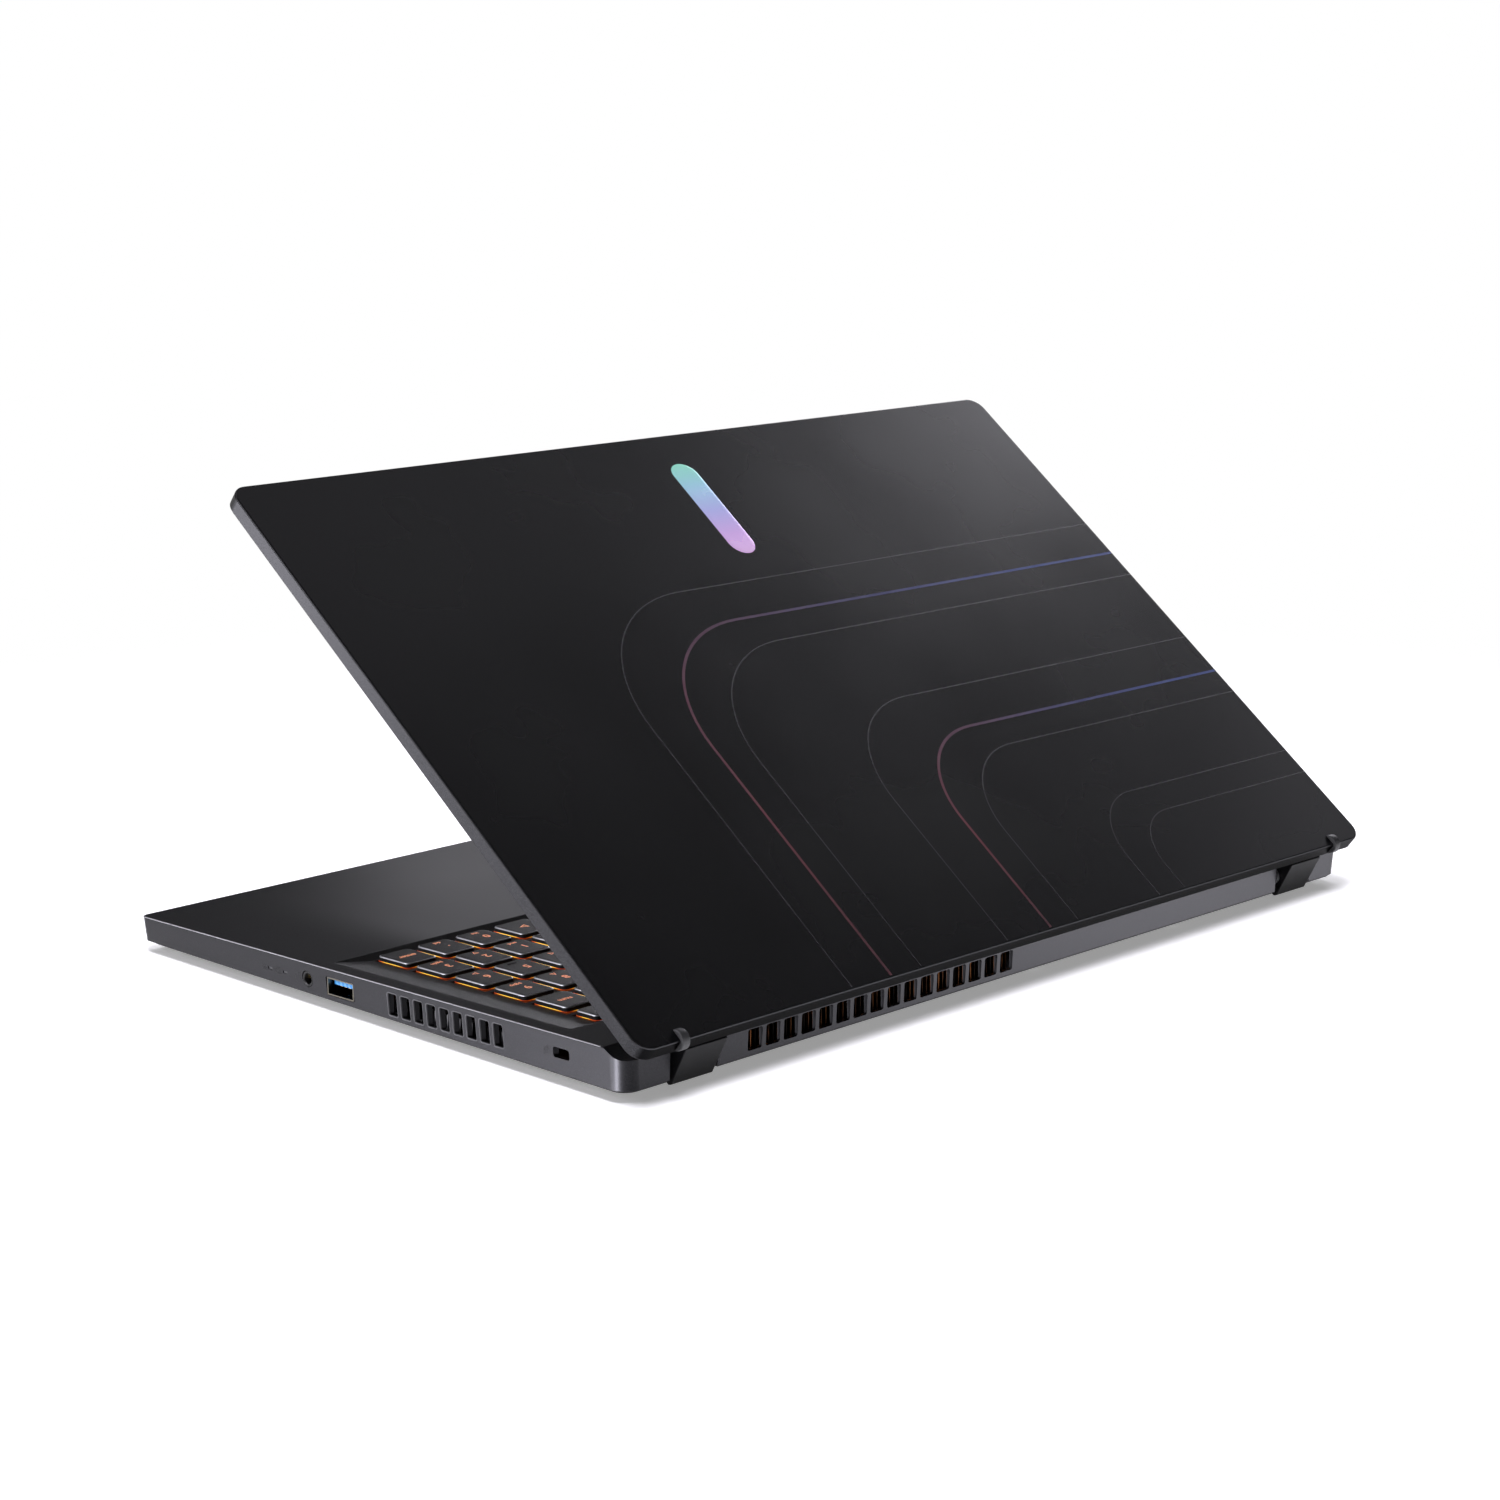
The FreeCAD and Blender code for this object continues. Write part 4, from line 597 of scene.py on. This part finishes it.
def ribbon(shape, pts, width, put, low=-0.02, high=0.03, closed=False, mat=0, span=(0.0, 1.0)):
    """A thin printed band of even width along flat points; put(u, v, h) sets a point on the surface."""
    n = len(pts)
    total, run = 0.0, [0.0]
    for i in range(1, n):
        total += math.hypot(pts[i][0] - pts[i - 1][0], pts[i][1] - pts[i - 1][1])
        run.append(total)
    verts, t = [], []
    for i, (x, y) in enumerate(pts):
        if closed:
            p, q = pts[i - 1], pts[(i + 1) % n]
        else:
            p, q = pts[max(i - 1, 0)], pts[min(i + 1, n - 1)]
        d1 = Vector((x - p[0], y - p[1])) if (x, y) != tuple(p) else Vector((q[0] - x, q[1] - y))
        d2 = Vector((q[0] - x, q[1] - y)) if (x, y) != tuple(q) else d1
        d1.normalize()
        d2.normalize()
        mid = d1 + d2
        mid.normalize()
        nrm = Vector((-mid.y, mid.x))
        k = width / 2.0 / max(0.35, nrm.dot(Vector((-d1.y, d1.x))))
        for sgn, h in ((1, low), (1, high), (-1, high), (-1, low)):
            verts.append(put(x + nrm.x * k * sgn, y + nrm.y * k * sgn, h))
            t.append(span[0] + (span[1] - span[0]) * (run[i] / total if total else 0.0))
    faces = []
    for i in range(n if closed else n - 1):
        a, b = i * 4, ((i + 1) % n) * 4
        for k in range(4):
            c = (k + 1) % 4
            faces.append((a + k, a + c, b + c, b + k))
    if not closed:
        faces.append((0, 3, 2, 1))
        e = (n - 1) * 4
        faces.append((e, e + 1, e + 2, e + 3))
    shape.add(verts, faces, mat, t)


def plate(shape, pts, put, low, high, mat=0):
    """A flat printed patch with the given outline."""
    n = len(pts)
    verts = [put(x, y, low) for x, y in pts] + [put(x, y, high) for x, y in pts]
    faces = [tuple(reversed(range(n))), tuple(range(n, 2 * n))]
    faces += [(i, (i + 1) % n, n + (i + 1) % n, n + i) for i in range(n)]
    shape.add(verts, faces, mat)


def arc(cx, cy, r, a0, a1, n=12):
    return [(cx + r * math.cos(math.radians(a0 + (a1 - a0) * k / n)), cy + r * math.sin(math.radians(a0 + (a1 - a0) * k / n))) for k in range(n + 1)]


GLYPHS = {}


def glyphs(text, size):
    """Vertices and faces of a short text, centred, in millimetres, as a thin solid."""
    if (text, size) not in GLYPHS:
        cu = bpy.data.curves.new("legend_text", "FONT")
        cu.body = text
        cu.size = size
        cu.align_x = "CENTER"
        cu.align_y = "CENTER"
        cu.resolution_u = 3
        cu.extrude = 0.012
        cu.offset = 0.016 * size
        ob = bpy.data.objects.new("legend_text", cu)
        SCENE.collection.objects.link(ob)
        bpy.context.view_layer.update()
        me = bpy.data.meshes.new_from_object(ob.evaluated_get(bpy.context.evaluated_depsgraph_get()))
        vs = [tuple(v.co) for v in me.vertices]
        xs, ys = [v[0] for v in vs], [v[1] for v in vs]
        mx, my = (min(xs) + max(xs)) / 2, (min(ys) + max(ys)) / 2
        GLYPHS[(text, size)] = ([(v[0] - mx, v[1] - my, v[2]) for v in vs], [tuple(p.vertices) for p in me.polygons])
        bpy.data.objects.remove(ob)
        bpy.data.curves.remove(cu)
        bpy.data.meshes.remove(me)
    return GLYPHS[(text, size)]


def write(shape, text, size, x, y, z, mat=0):
    vs, fs = glyphs(text, size)
    shape.add([(x + v[0], y + v[1], z + v[2]) for v in vs], fs, mat)


# ------------------------------------------------------------------ keys
U, LEFT, ROW0, PITCH, DEPTH = 18.25, -161.6, -11.2, 18.9, 16.0
FUNC_Y, FUNC_D = 80.6, 10.5
TOP = 12.8


def spot(u0, w, r):
    return (LEFT + U * (u0 + w / 2.0), ROW0 + PITCH * r, U * w - 3.0, DEPTH)


def pad_key(c, r):
    x = 121.0 + 16.2 * c
    return (x, ROW0 + PITCH * r, 13.2, DEPTH) if r < 5 else (x, FUNC_Y, 13.2, FUNC_D)


HALF = (DEPTH - 1.6) / 2.0
BOARD = {
    "bottom_row_keys": ("keys_bottom_row", [(spot(0, 1.25, 0), "ctrl"), (spot(1.25, 1, 0), "fn"), (spot(2.25, 1, 0), "@menu"),
                                             (spot(3.25, 1.25, 0), "alt"), (spot(9.75, 1.25, 0), "alt"), (spot(11.0, 1.0, 0), "ctrl")]),
    "space_bar": ("keys_space_bar", [(spot(4.5, 5.25, 0), "")]),
    "lower_row_keys": ("keys_lower_row", [(spot(0, 2.25, 1), "shift")] + [(spot(2.25 + k, 1, 1), s) for k, s in enumerate(
        ["Z", "X", "C", "V", "B", "N", "M", (",", "<"), (".", ">"), ("/", "?")])] + [(spot(12.25, 2.75, 1), "shift")]),
    "home_row_keys": ("keys_home_row", [(spot(0, 1.75, 2), "caps")] + [(spot(1.75 + k, 1, 2), s) for k, s in enumerate(
        ["A", "S", "D", "F|", "G", "H", "J|", "K", "L", (";", ":"), ("'", '"')])] + [(spot(12.75, 2.25, 2), "enter")]),
    "upper_row_keys": ("keys_upper_row", [(spot(0, 1.5, 3), "tab")] + [(spot(1.5 + k, 1, 3), s) for k, s in enumerate(
        ["Q", "W", "E", "R", "T", "Y", "U", "I", "O", "P", ("[", "{"), ("]", "}")])] + [(spot(13.5, 1.5, 3), ("\\", "|"))]),
    "number_row_keys": ("keys_number_row", [(spot(k, 1, 4), s) for k, s in enumerate(
        [("`", "~"), ("1", "!"), ("2", "@"), ("3", "#"), ("4", "$"), ("5", "%"), ("6", "^"), ("7", "&"), ("8", "*"), ("9", "("), ("0", ")"),
         ("-", "_"), ("=", "+")])] + [(spot(13, 2, 4), "back")]),
    "function_row_keys": ("keys_function_row", [((LEFT + U * (k + 0.5), FUNC_Y, U - 3.0, FUNC_D), s) for k, s in enumerate(
        ["esc"] + ["f%d" % i for i in range(1, 13)] + ["prt", "del"])]),
    "arrow_keys": ("keys_arrow", [((LEFT + U * 12.5, ROW0, U - 3.0, DEPTH), "@left"),
                                   ((LEFT + U * 13.5, ROW0 + DEPTH / 4 + 0.4, U - 3.0, HALF), "@up"),
                                   ((LEFT + U * 13.5, ROW0 - DEPTH / 4 - 0.4, U - 3.0, HALF), "@down"),
                                   ((LEFT + U * 14.5, ROW0, U - 3.0, DEPTH), "@right")]),
    "numpad_left_keys": ("keys_numpad_left", [(pad_key(0, r), s) for r, s in enumerate(
        [("0", "ins"), ("1", "end"), ("4", "@left"), ("7", "home"), "/", "+"])]),
    "numpad_middle_keys": ("keys_numpad_middle", [(pad_key(1, r), s) for r, s in enumerate(
        [(".", "del"), ("2", "@down"), "5|", ("8", "@up"), "*", "-"])]),
    "numpad_right_keys": ("keys_numpad_right", [(pad_key(2, r), s) for r, s in enumerate(
        ["enter", ("3", "pgdn"), ("6", "@right"), ("9", "pgup"), "num"])]),
    "power_button": ("power_key", [(pad_key(2, 5), "@power")]),
}
# distance in from the key's foot outline and height of each ring of a cap
CAP = [(0.55, 10.92), (0.12, 10.95), (0.09, 11.10), (0.08, 11.32), (0.16, 11.36), (0.24, 12.20), (0.27, 12.44), (0.34, 12.60),
       (0.46, 12.72), (0.64, 12.785), (0.90, 12.80), (2.10, 12.795)]


def cap(shape, x, y, w, d):
    rings, values = [], []
    for inset, z in CAP:
        pts, far = outline(x, y, w - 2 * inset, d - 2 * inset, 1.75 - 0.25 * inset)
        rings.append([(px, py, z) for px, py in pts])
        values += [max(0.0, min(1.0, (f - 0.5) / 2.2)) for f in far]
    loft(shape, rings, [0, 0, 2, 0, 0, 0, 1, 1, 1, 0, 0], values=values)


def flat_put(x, y, h):
    return (x, y, TOP + h)


def mark(shape, text, x, y, size):
    """One legend: letters, or a drawn sign when it starts with @."""
    if not text.startswith("@"):
        write(shape, text, size, x, y, TOP + 0.012)
        return
    k = size * 0.32
    way = {"@left": 180, "@right": 0, "@up": 90, "@down": -90}.get(text)
    if way is not None:
        pts = [(x + k * math.cos(math.radians(way + a)), y + k * math.sin(math.radians(way + a))) for a in (0, 125, 235)]
        ribbon(shape, pts, size * 0.085, flat_put, 0.0, 0.024, closed=True)
    elif text == "@menu":
        for j in (-1, 0, 1):
            ribbon(shape, [(x - k, y + j * k * 0.7), (x + k, y + j * k * 0.7)], size * 0.09, flat_put, 0.0, 0.024)
    elif text == "@power":
        ribbon(shape, arc(x, y, k, 130, 410, 20), size * 0.085, flat_put, 0.0, 0.024)
        ribbon(shape, [(x, y + k * 0.25), (x, y + k * 1.2)], size * 0.085, flat_put, 0.0, 0.024)


for node, (body, keys) in BOARD.items():
    caps, signs, bars = Shape(), Shape(), Shape()
    for (x, y, w, d), legend in keys:
        cap(caps, x, y, w, d)
        low = d < 12
        if isinstance(legend, tuple):
            mark(signs, legend[0], x - 1.2, y + 0.2, 4.6)
            mark(signs, legend[1], x - 0.6, y - 5.0, 2.5 if len(legend[1]) > 1 and not legend[1].startswith("@") else 3.4)
            continue
        if legend.endswith("|") and len(legend) == 2:
            legend = legend[0]
            loft(bars, [[(px, py, z) for px, py in outline(x, y - 5.3, bw, bd, bd / 2 - 0.02, 4, 2)[0]]
                        for bw, bd, z in ((3.6, 0.8, TOP - 0.02), (3.6, 0.8, TOP + 0.14), (3.3, 0.5, TOP + 0.22))], [0, 0])
        if legend == "":
            continue
        if legend.startswith("@"):
            mark(signs, legend, x, y, 4.0 if low else 4.8)
        elif len(legend) == 1:
            mark(signs, legend, x - 1.2, y + 0.6, 4.6 if not low else 3.4)
        elif w > 24:
            mark(signs, legend, x - w / 2 + 8.0, y, 3.2)
        else:
            mark(signs, legend, x, y, 3.2 if not low else 2.9)
    make(node + "_caps", caps, DECK, [M["key"], M["edge"], M["glow"]], body, (node,))
    if signs.v:
        make(node + "_legends", signs, DECK, [M["legend"]], body)
    if bars.v:
        make(node + "_home_bars", bars, DECK, [M["key"]], body)


# ------------------------------------------------------------------ marks and ports on the user's right wall
def wall(y, z, h):
    """A point on the right wall, h out from it."""
    return (181.15 - (13.0 - z) * TAN4 + h, y, z)


signs = Shape()
LINE = dict(low=-0.02, high=0.02)
# power light sign: a small sun
cy, cz = -51.2, 7.6
ribbon(signs, arc(cy, cz, 0.55, 0, 345, 15), 0.2, wall, closed=True, **LINE)
for k in range(8):
    a = math.radians(45 * k + 22.5)
    ribbon(signs, [(cy + 0.85 * math.cos(a), cz + 0.85 * math.sin(a)), (cy + 1.35 * math.cos(a), cz + 1.35 * math.sin(a))], 0.2, wall, **LINE)
# battery sign
cy = -43.8
ribbon(signs, [(cy - 1.6, cz - 0.8), (cy + 1.3, cz - 0.8), (cy + 1.3, cz + 0.8), (cy - 1.6, cz + 0.8)], 0.2, wall, closed=True, **LINE)
ribbon(signs, [(cy - 1.85, cz - 0.35), (cy - 1.85, cz + 0.35)], 0.2, wall, **LINE)
for k in (-0.85, 0.0, 0.8):
    ribbon(signs, [(cy + k - 0.1, cz - 0.45), (cy + k - 0.1, cz + 0.45)], 0.32, wall, **LINE)
# headset sign
cy = -33.7
ribbon(signs, arc(cy, cz + 0.2, 1.15, -10, 190, 14), 0.22, wall, **LINE)
for s in (-1, 1):
    ribbon(signs, [(cy + s * 1.15, cz + 0.1), (cy + s * 1.15, cz - 1.1)], 0.6, wall, **LINE)
ribbon(signs, [(cy - 1.15, cz - 1.1), (cy - 0.9, cz - 1.7), (cy - 0.1, cz - 1.8)], 0.2, wall, **LINE)
# lock sign beside the slot
cy, cz = 86.0, 7.1
ribbon(signs, [(cy - 0.95, cz - 1.3), (cy + 0.95, cz - 1.3), (cy + 0.95, cz + 0.3), (cy - 0.95, cz + 0.3)], 0.22, wall, closed=True, **LINE)
ribbon(signs, [(cy - 0.6, cz + 0.3), (cy - 0.6, cz + 0.8)] + arc(cy, cz + 0.8, 0.6, 180, 0, 8)[1:] + [(cy + 0.6, cz + 0.3)], 0.22, wall, **LINE)
ribbon(signs, [(cy, cz - 0.8), (cy, cz - 0.25)], 0.3, wall, **LINE)
make("wall_signs", signs, DECK, [M["print"]], "base")

# polished edge between the deck and the walls, from hinge to hinge round the front
lip = Shape()
FC = 3.0
path = [((181.15, 110.0 - 12.0 * k), (1.0, 0.0)) for k in range(19)]
path += [((181.15 - FC + FC * math.cos(math.radians(a)), -119.93 + FC + FC * math.sin(math.radians(a))),
          (math.cos(math.radians(a)), math.sin(math.radians(a)))) for a in range(0, -91, -10)]
path += [((160.0 - 16.0 * k, -119.93), (0.0, -1.0)) for k in range(21)]
path += [((-181.15 + FC + FC * math.cos(math.radians(a)), -119.93 + FC + FC * math.sin(math.radians(a))),
          (math.cos(math.radians(a)), math.sin(math.radians(a)))) for a in range(-90, -181, -10)]
path += [((-181.15, 110.0 - 12.0 * k), (-1.0, 0.0)) for k in range(18, -1, -1)]
cut = [(-0.4 + 0.425 * math.cos(math.radians(a)), 12.6 + 0.425 * math.sin(math.radians(a))) for a in (88, 74, 60, 46, 32)]
cut += [(-0.12, 12.7), (-0.36, 12.85)]
n = len(cut)
verts = [(q[0] + d[0] * o, q[1] + d[1] * o, z) for q, d in path for o, z in cut]
faces = []
for j in range(len(path) - 1):
    faces += [(j * n + i, (j + 1) * n + i, (j + 1) * n + (i + 1) % n, j * n + (i + 1) % n) for i in range(n)]
faces += [tuple(range(n)), tuple(reversed(range((len(path) - 1) * n, len(path) * n)))]
lip.add(verts, faces)
edge_ob = make("deck_edge_line", lip, DECK, [M["edge"]], "base")

# thin rounded rims of the side vents, coloured lighter than the wall as a painted highlight round each opening
rims = Shape()
for k in range(9):
    rings = []
    for grow, h in ((0.30, -0.06), (0.28, 0.02), (0.18, 0.06), (0.04, 0.05), (-0.08, -0.04), (-0.10, -0.45), (0.30, -0.45)):
        pts, _ = outline(14.2 + 6.25 * k, 7.05, 4.45 + 2 * grow, 7.45 + 2 * grow, 0.7 + grow, 4, 4)
        rings.append([wall(a, b, h) for a, b in pts])
    n = len(rings[0])
    verts = [q for ring in rings for q in ring]
    faces = []
    for j in range(len(rings)):
        j2 = (j + 1) % len(rings)
        faces += [(j * n + i, j * n + (i + 1) % n, j2 * n + (i + 1) % n, j2 * n + i) for i in range(n)]
    rims.add(verts, faces)
make("side_vent_highlight_rims", rims, DECK, [M["rim"]], "base")

# rounded lip and spring contact of the headset socket
JY, JZ = -28.6, 7.6
lip = Shape()
jack_x = 181.15 - (13.0 - JZ) * TAN4
profile = [(2.62, -0.9), (2.62, -0.25), (2.52, -0.08), (2.3, 0.0), (2.05, -0.08), (1.88, -0.25), (1.82, -0.6), (1.82, -0.9)]
n = 40
verts = [(jack_x + h, JY + r * math.cos(2 * math.pi * k / n), JZ + r * math.sin(2 * math.pi * k / n)) for r, h in profile for k in range(n)]
faces = []
for j in range(len(profile)):
    j2 = (j + 1) % len(profile)
    faces += [(j * n + k, j * n + (k + 1) % n, j2 * n + (k + 1) % n, j2 * n + k) for k in range(n)]
lip.add(verts, faces)
make("jack_lip", lip, DECK, [M["black"]], "base")
spring = Shape()
loft(spring, [[(jack_x + h, JY - 1.55 + p, JZ + q) for p, q in outline(0, 0, 0.35 + e, 1.2, 0.12, 3, 1)[0]]
              for h, e in ((-6.0, 0.0), (-3.6, 0.25), (-2.6, 0.5), (-2.2, 0.3), (-1.9, 0.05))], [0] * 4)
make("jack_contact", spring, DECK, [M["gold"]], "base")

# contacts on the tongue of the data port, and pale blue ribs on its face
tongue = Shape()
for k in range(5):
    y = -12.0 + (k - 2) * 2.05
    loft(tongue, [[(x, y + p, 7.44 + q) for p, q in outline(0, 0, 1.15, 0.14, 0.05, 2, 1)[0]] for x in (169.0, 178.1, 178.45)], [0, 0])
make("usb_contacts", tongue, DECK, [M["gold"]], "base")
face = Shape()
for k in range(5):
    y = -12.0 + (k - 2) * 2.05
    plate(face, [(y - 0.62, 7.75), (y + 0.62, 7.75), (y + 0.62, 9.0), (y - 0.62, 9.0)], lambda a, b, h: (178.6 + h, a, b), -0.05, 0.04)
make("usb_tongue_ribs", face, DECK, [M["rib"]], "base")


# ------------------------------------------------------------------ printed design on the lid
def lid_put(x, y, h):
    return (x, y, 20.2 + h)


thin, wide = Shape(), Shape()
# nested round-cornered tracks that leave over the hinge edge and over the far side
TRACKS = [  # x of the upright run, y of the level run, corner radius, wide
    (92.0, -46.0, 54.0, False), (74.0, -30.0, 50.0, True), (60.0, -18.0, 48.0, False), (18.0, 16.0, 40.0, False),
    (-4.0, 34.0, 36.0, True), (-18.0, 45.0, 34.0, False), (-62.0, 76.0, 26.0, False), (-76.0, 87.0, 22.0, False),
]
for x0, y0, r, bold in TRACKS:
    pts = [(x0, 119.0), (x0, 100.0)] if y0 + r < 95 else [(x0, 119.0)]
    pts += [(x0, y0 + r)]
    pts += arc(x0 - r, y0 + r, r, 0, -90, 20)[1:]
    end = -181.0
    steps = 14
    pts += [(x0 - r + (end - x0 + r) * k / steps, y0) for k in range(1, steps + 1)]
    ribbon(wide if bold else thin, pts, 1.05 if bold else 0.34, lid_put, -0.02, 0.03)
make("lid_hairlines", thin, LID, [M["hairline"]], "lid")
make("lid_colour_strips", wide, LID, [M["strip"]], "lid")

# iridescent bar: its film, slightly crowned, in the seat that the shell has for it
bar = Shape()
rings, vals = [], []
for inset, z in ((0.06, 19.72), (0.06, 20.02), (0.14, 20.12), (0.45, 20.18), (1.4, 20.2), (3.2, 20.2)):
    pts, _ = outline(-6.0, 119.9 - 201.0, 11.9 - 2 * inset, 45.9 - 2 * inset, 5.93 - inset, 10, 16)
    rings.append([(px, py, z) for px, py in pts])
    vals += [(py + 104.05) / 45.9 for px, py in pts]
loft(bar, rings, [0] * 5, values=vals)
make("lid_inlay_film", bar, LID, [M["film"]], "lid", ("lid_inlay",))

# ------------------------------------------------------------------ stage: floor, light, camera
floor = Shape()
RINGS = [0.0, 200.0, 400.0, 600.0, 800.0, 1000.0, 1200.0, 1500.0]
n = 64
floor_v = [(0.0, 0.0, 0.0)]
for r in RINGS[1:]:
    floor_v += [(r * math.cos(2 * math.pi * k / n), r * math.sin(2 * math.pi * k / n), 0.0) for k in range(n)]
floor_f = [(0, 1 + k, 1 + (k + 1) % n) for k in range(n)]
for j in range(len(RINGS) - 2):
    a, b = 1 + j * n, 1 + (j + 1) * n
    floor_f += [(a + k, b + k, b + (k + 1) % n, a + (k + 1) % n) for k in range(n)]
me = bpy.data.meshes.new("floor")
me.from_pydata([(x * MM, y * MM, -0.00002) for x, y, z in floor_v], [], floor_f)
floor_ob = bpy.data.objects.new("floor", me)
SCENE.collection.objects.link(floor_ob)
fm = Mat("studio_floor", Specular_IOR_Level=0.1, Roughness=0.9)
fn = fm.noise(5.0, 2.0, 0.5)
fm.color(fm.ramp(fn, [(0.3, (0.90, 0.90, 0.90)), (0.7, (0.93, 0.93, 0.93))]))
ln = fm.new("ShaderNodeVectorMath", operation="LENGTH")
fm.link(fm.coord.outputs["Object"], ln.inputs[0])
fm.link(fm.remap(ln.outputs["Value"], 1.0, 0.0, 0.30, 0.62, smooth=True), fm.b.inputs["Alpha"])
fm.b.inputs["Emission Color"].default_value = (1.0, 1.0, 1.0, 1.0)
fm.b.inputs["Emission Strength"].default_value = 0.30
me.materials.append(fm.m)


def area(name, at, aim, size, radiance, size_y=None, shown=False):
    """Soft box at a point, facing another, of a given brightness."""
    li = bpy.data.lights.new(name, "AREA")
    li.shape = "RECTANGLE"
    li.size = size
    li.size_y = size_y or size
    li.energy = radiance * math.pi * li.size * li.size_y
    li.color = (0.97, 0.955, 1.03)
    o = bpy.data.objects.new(name, li)
    SCENE.collection.objects.link(o)
    o.location = at
    o.rotation_mode = "QUATERNION"
    o.rotation_quaternion = (Vector(aim) - Vector(at)).to_track_quat("-Z", "Y")
    o.visible_camera = shown
    return o


def only(light, names, through=True):
    """Keep a light to a few pieces; through: nothing else shades them."""
    group = bpy.data.collections.new(light.name + "_on")
    for o in names:
        group.objects.link(o)
    light.light_linking.receiver_collection = group
    if through and floor_ob not in names:
        light.light_linking.blocker_collection = group


area("top_box", (0.05, -0.85, 1.7), (0.02, 0.0, 0.0), 1.4, 0.6)
area("back_box", (-1.334, -0.4725, 0.79), (0.0, 0.0, 0.08), 0.6, 5.2, 0.58)
area("lid_low_box", (-1.37, 0.19, 0.80), (0.0, 0.0, 0.1), 0.4, 0.77, 0.25)
area("lid_high_box", (-0.79, -0.16, 1.43), (0.1, 0.0, 0.1), 0.4, 0.33)
area("deck_box", (-1.83, -2.27, 0.72), (0.083, -0.073, 0.013), 0.35, 1.12, 0.5)
# reflections that a white table top would give, without its glare: each is kept to the piece it is for
only(area("floor_box", (0.5, 0.5, 1.9), (0.05, 0.05, 0.0), 0.8, 21.0), [floor_ob])
only(area("wall_card", (0.78, -0.326, -0.29), (0.18, 0.06, 0.008), 0.15, 54.0), [NODES["top_case"]])
only(area("corner_card", (0.918, 0.070, -0.29), (0.178, 0.11, 0.008), 0.08, 520.0, 0.15), [NODES["top_case"]])
only(area("rear_card", (-0.688, 0.546, -0.29), (-0.08, 0.12, 0.006), 0.3, 12.2, 0.2), [NODES["top_case"]])
only(area("edge_card", (0.51, -0.85, 0.75), (0.18, 0.04, 0.013), 0.5, 4.0), [o for o in SCENE.objects if o.name == "deck_edge_line"])
# the same for the sides that the picture does not show
area("far_back_box", (1.334, -0.4725, 0.79), (0.0, 0.0, 0.08), 0.6, 4.2, 0.58)
only(area("far_floor_box", (-0.5, -0.5, 1.9), (-0.05, -0.05, 0.0), 0.8, 6.0), [floor_ob])
only(area("left_card", (-0.78, -0.326, -0.29), (-0.18, 0.0, 0.008), 0.15, 46.0), [NODES["top_case"]])
only(area("front_card", (0.10, -0.85, -0.20), (0.0, -0.12, 0.008), 0.3, 10.0, 0.2), [NODES["top_case"]])
only(area("deck_fill", (-1.28, 1.28, 0.85), (0.0, -0.06, 0.02), 0.7, 1.1), [NODES["top_case"], NODES["touchpad"]])
board = [o for o in SCENE.objects if o.name.endswith("_caps")] + [NODES["keyboard_surround"]]
sockets = [o for o in SCENE.objects if o.name in ("jack_lip", "jack_contact", "usb_contacts", "usb_tongue_ribs", "usb_tongue_right", "lid_bumpers", "side_fin_stack",
                                                     "side_vent_highlight_rims")]
only(area("key_low_box", (-1.20, -0.89, 0.17), (0.1, 0.0, 0.01), 0.6, 17.0, 0.2), board, False)
only(area("key_side_box", (0.95, -0.45, 0.6), (0.15, 0.0, 0.01), 0.3, 26.0), board + sockets, False)
only(area("rim_card", (0.878, -1.03, -0.06), (0.181, -0.09, 0.15), 0.24, 68.0, 0.06), [NODES["lid_back_cover"]])

world = bpy.data.worlds.new("studio")
SCENE.world = world
world.use_nodes = True
wn = world.node_tree
wn.nodes.clear()
wo = wn.nodes.new("ShaderNodeOutputWorld")
tc = wn.nodes.new("ShaderNodeTexCoord")
sx = wn.nodes.new("ShaderNodeSeparateXYZ")
wn.links.new(tc.outputs["Generated"], sx.inputs[0])
up = wn.nodes.new("ShaderNodeValToRGB")
up.color_ramp.elements[0].position = 0.49
up.color_ramp.elements[0].color = (1.0, 1.0, 1.0, 1.0)
up.color_ramp.elements[1].position = 0.53
up.color_ramp.elements[1].color = (0.04, 0.04, 0.043, 1.0)
half = wn.nodes.new("ShaderNodeMapRange")
half.inputs["From Min"].default_value = -1.0
wn.links.new(sx.outputs["Z"], half.inputs["Value"])
wn.links.new(half.outputs[0], up.inputs["Fac"])
soft = wn.nodes.new("ShaderNodeBackground")
wn.links.new(up.outputs["Color"], soft.inputs["Color"])
plain = wn.nodes.new("ShaderNodeBackground")
plain.inputs["Color"].default_value = (1.0, 1.0, 1.0, 1.0)
path = wn.nodes.new("ShaderNodeLightPath")
both = wn.nodes.new("ShaderNodeMixShader")
wn.links.new(path.outputs["Is Camera Ray"], both.inputs["Fac"])
wn.links.new(soft.outputs[0], both.inputs[1])
wn.links.new(plain.outputs[0], both.inputs[2])
wn.links.new(both.outputs[0], wo.inputs[0])

cam = bpy.data.cameras.new("photo_camera")
cam.lens = 3266.3 / 1500.0 * 36.0
cam.sensor_width = 36.0
cam.clip_start, cam.clip_end = 0.05, 50.0
co = bpy.data.objects.new("photo_camera", cam)
SCENE.collection.objects.link(co)
turn = DECK.to_3x3()
right = turn @ Vector((-0.70082, 0.71319, -0.01431))
down = turn @ Vector((0.15342, 0.13111, -0.97943))
right.normalize()
down = (down - right * down.dot(right)).normalized()
back = right.cross(-down)
place = Matrix((right, -down, back)).transposed().to_4x4()
place.translation = (DECK @ Vector((801.49, 786.50, 289.06))) * MM
co.matrix_world = place
SCENE.camera = co

SCENE.view_settings.view_transform = "Standard"
SCENE.view_settings.look = "None"
SCENE.view_settings.exposure = 0.0
SCENE.view_settings.gamma = 1.0
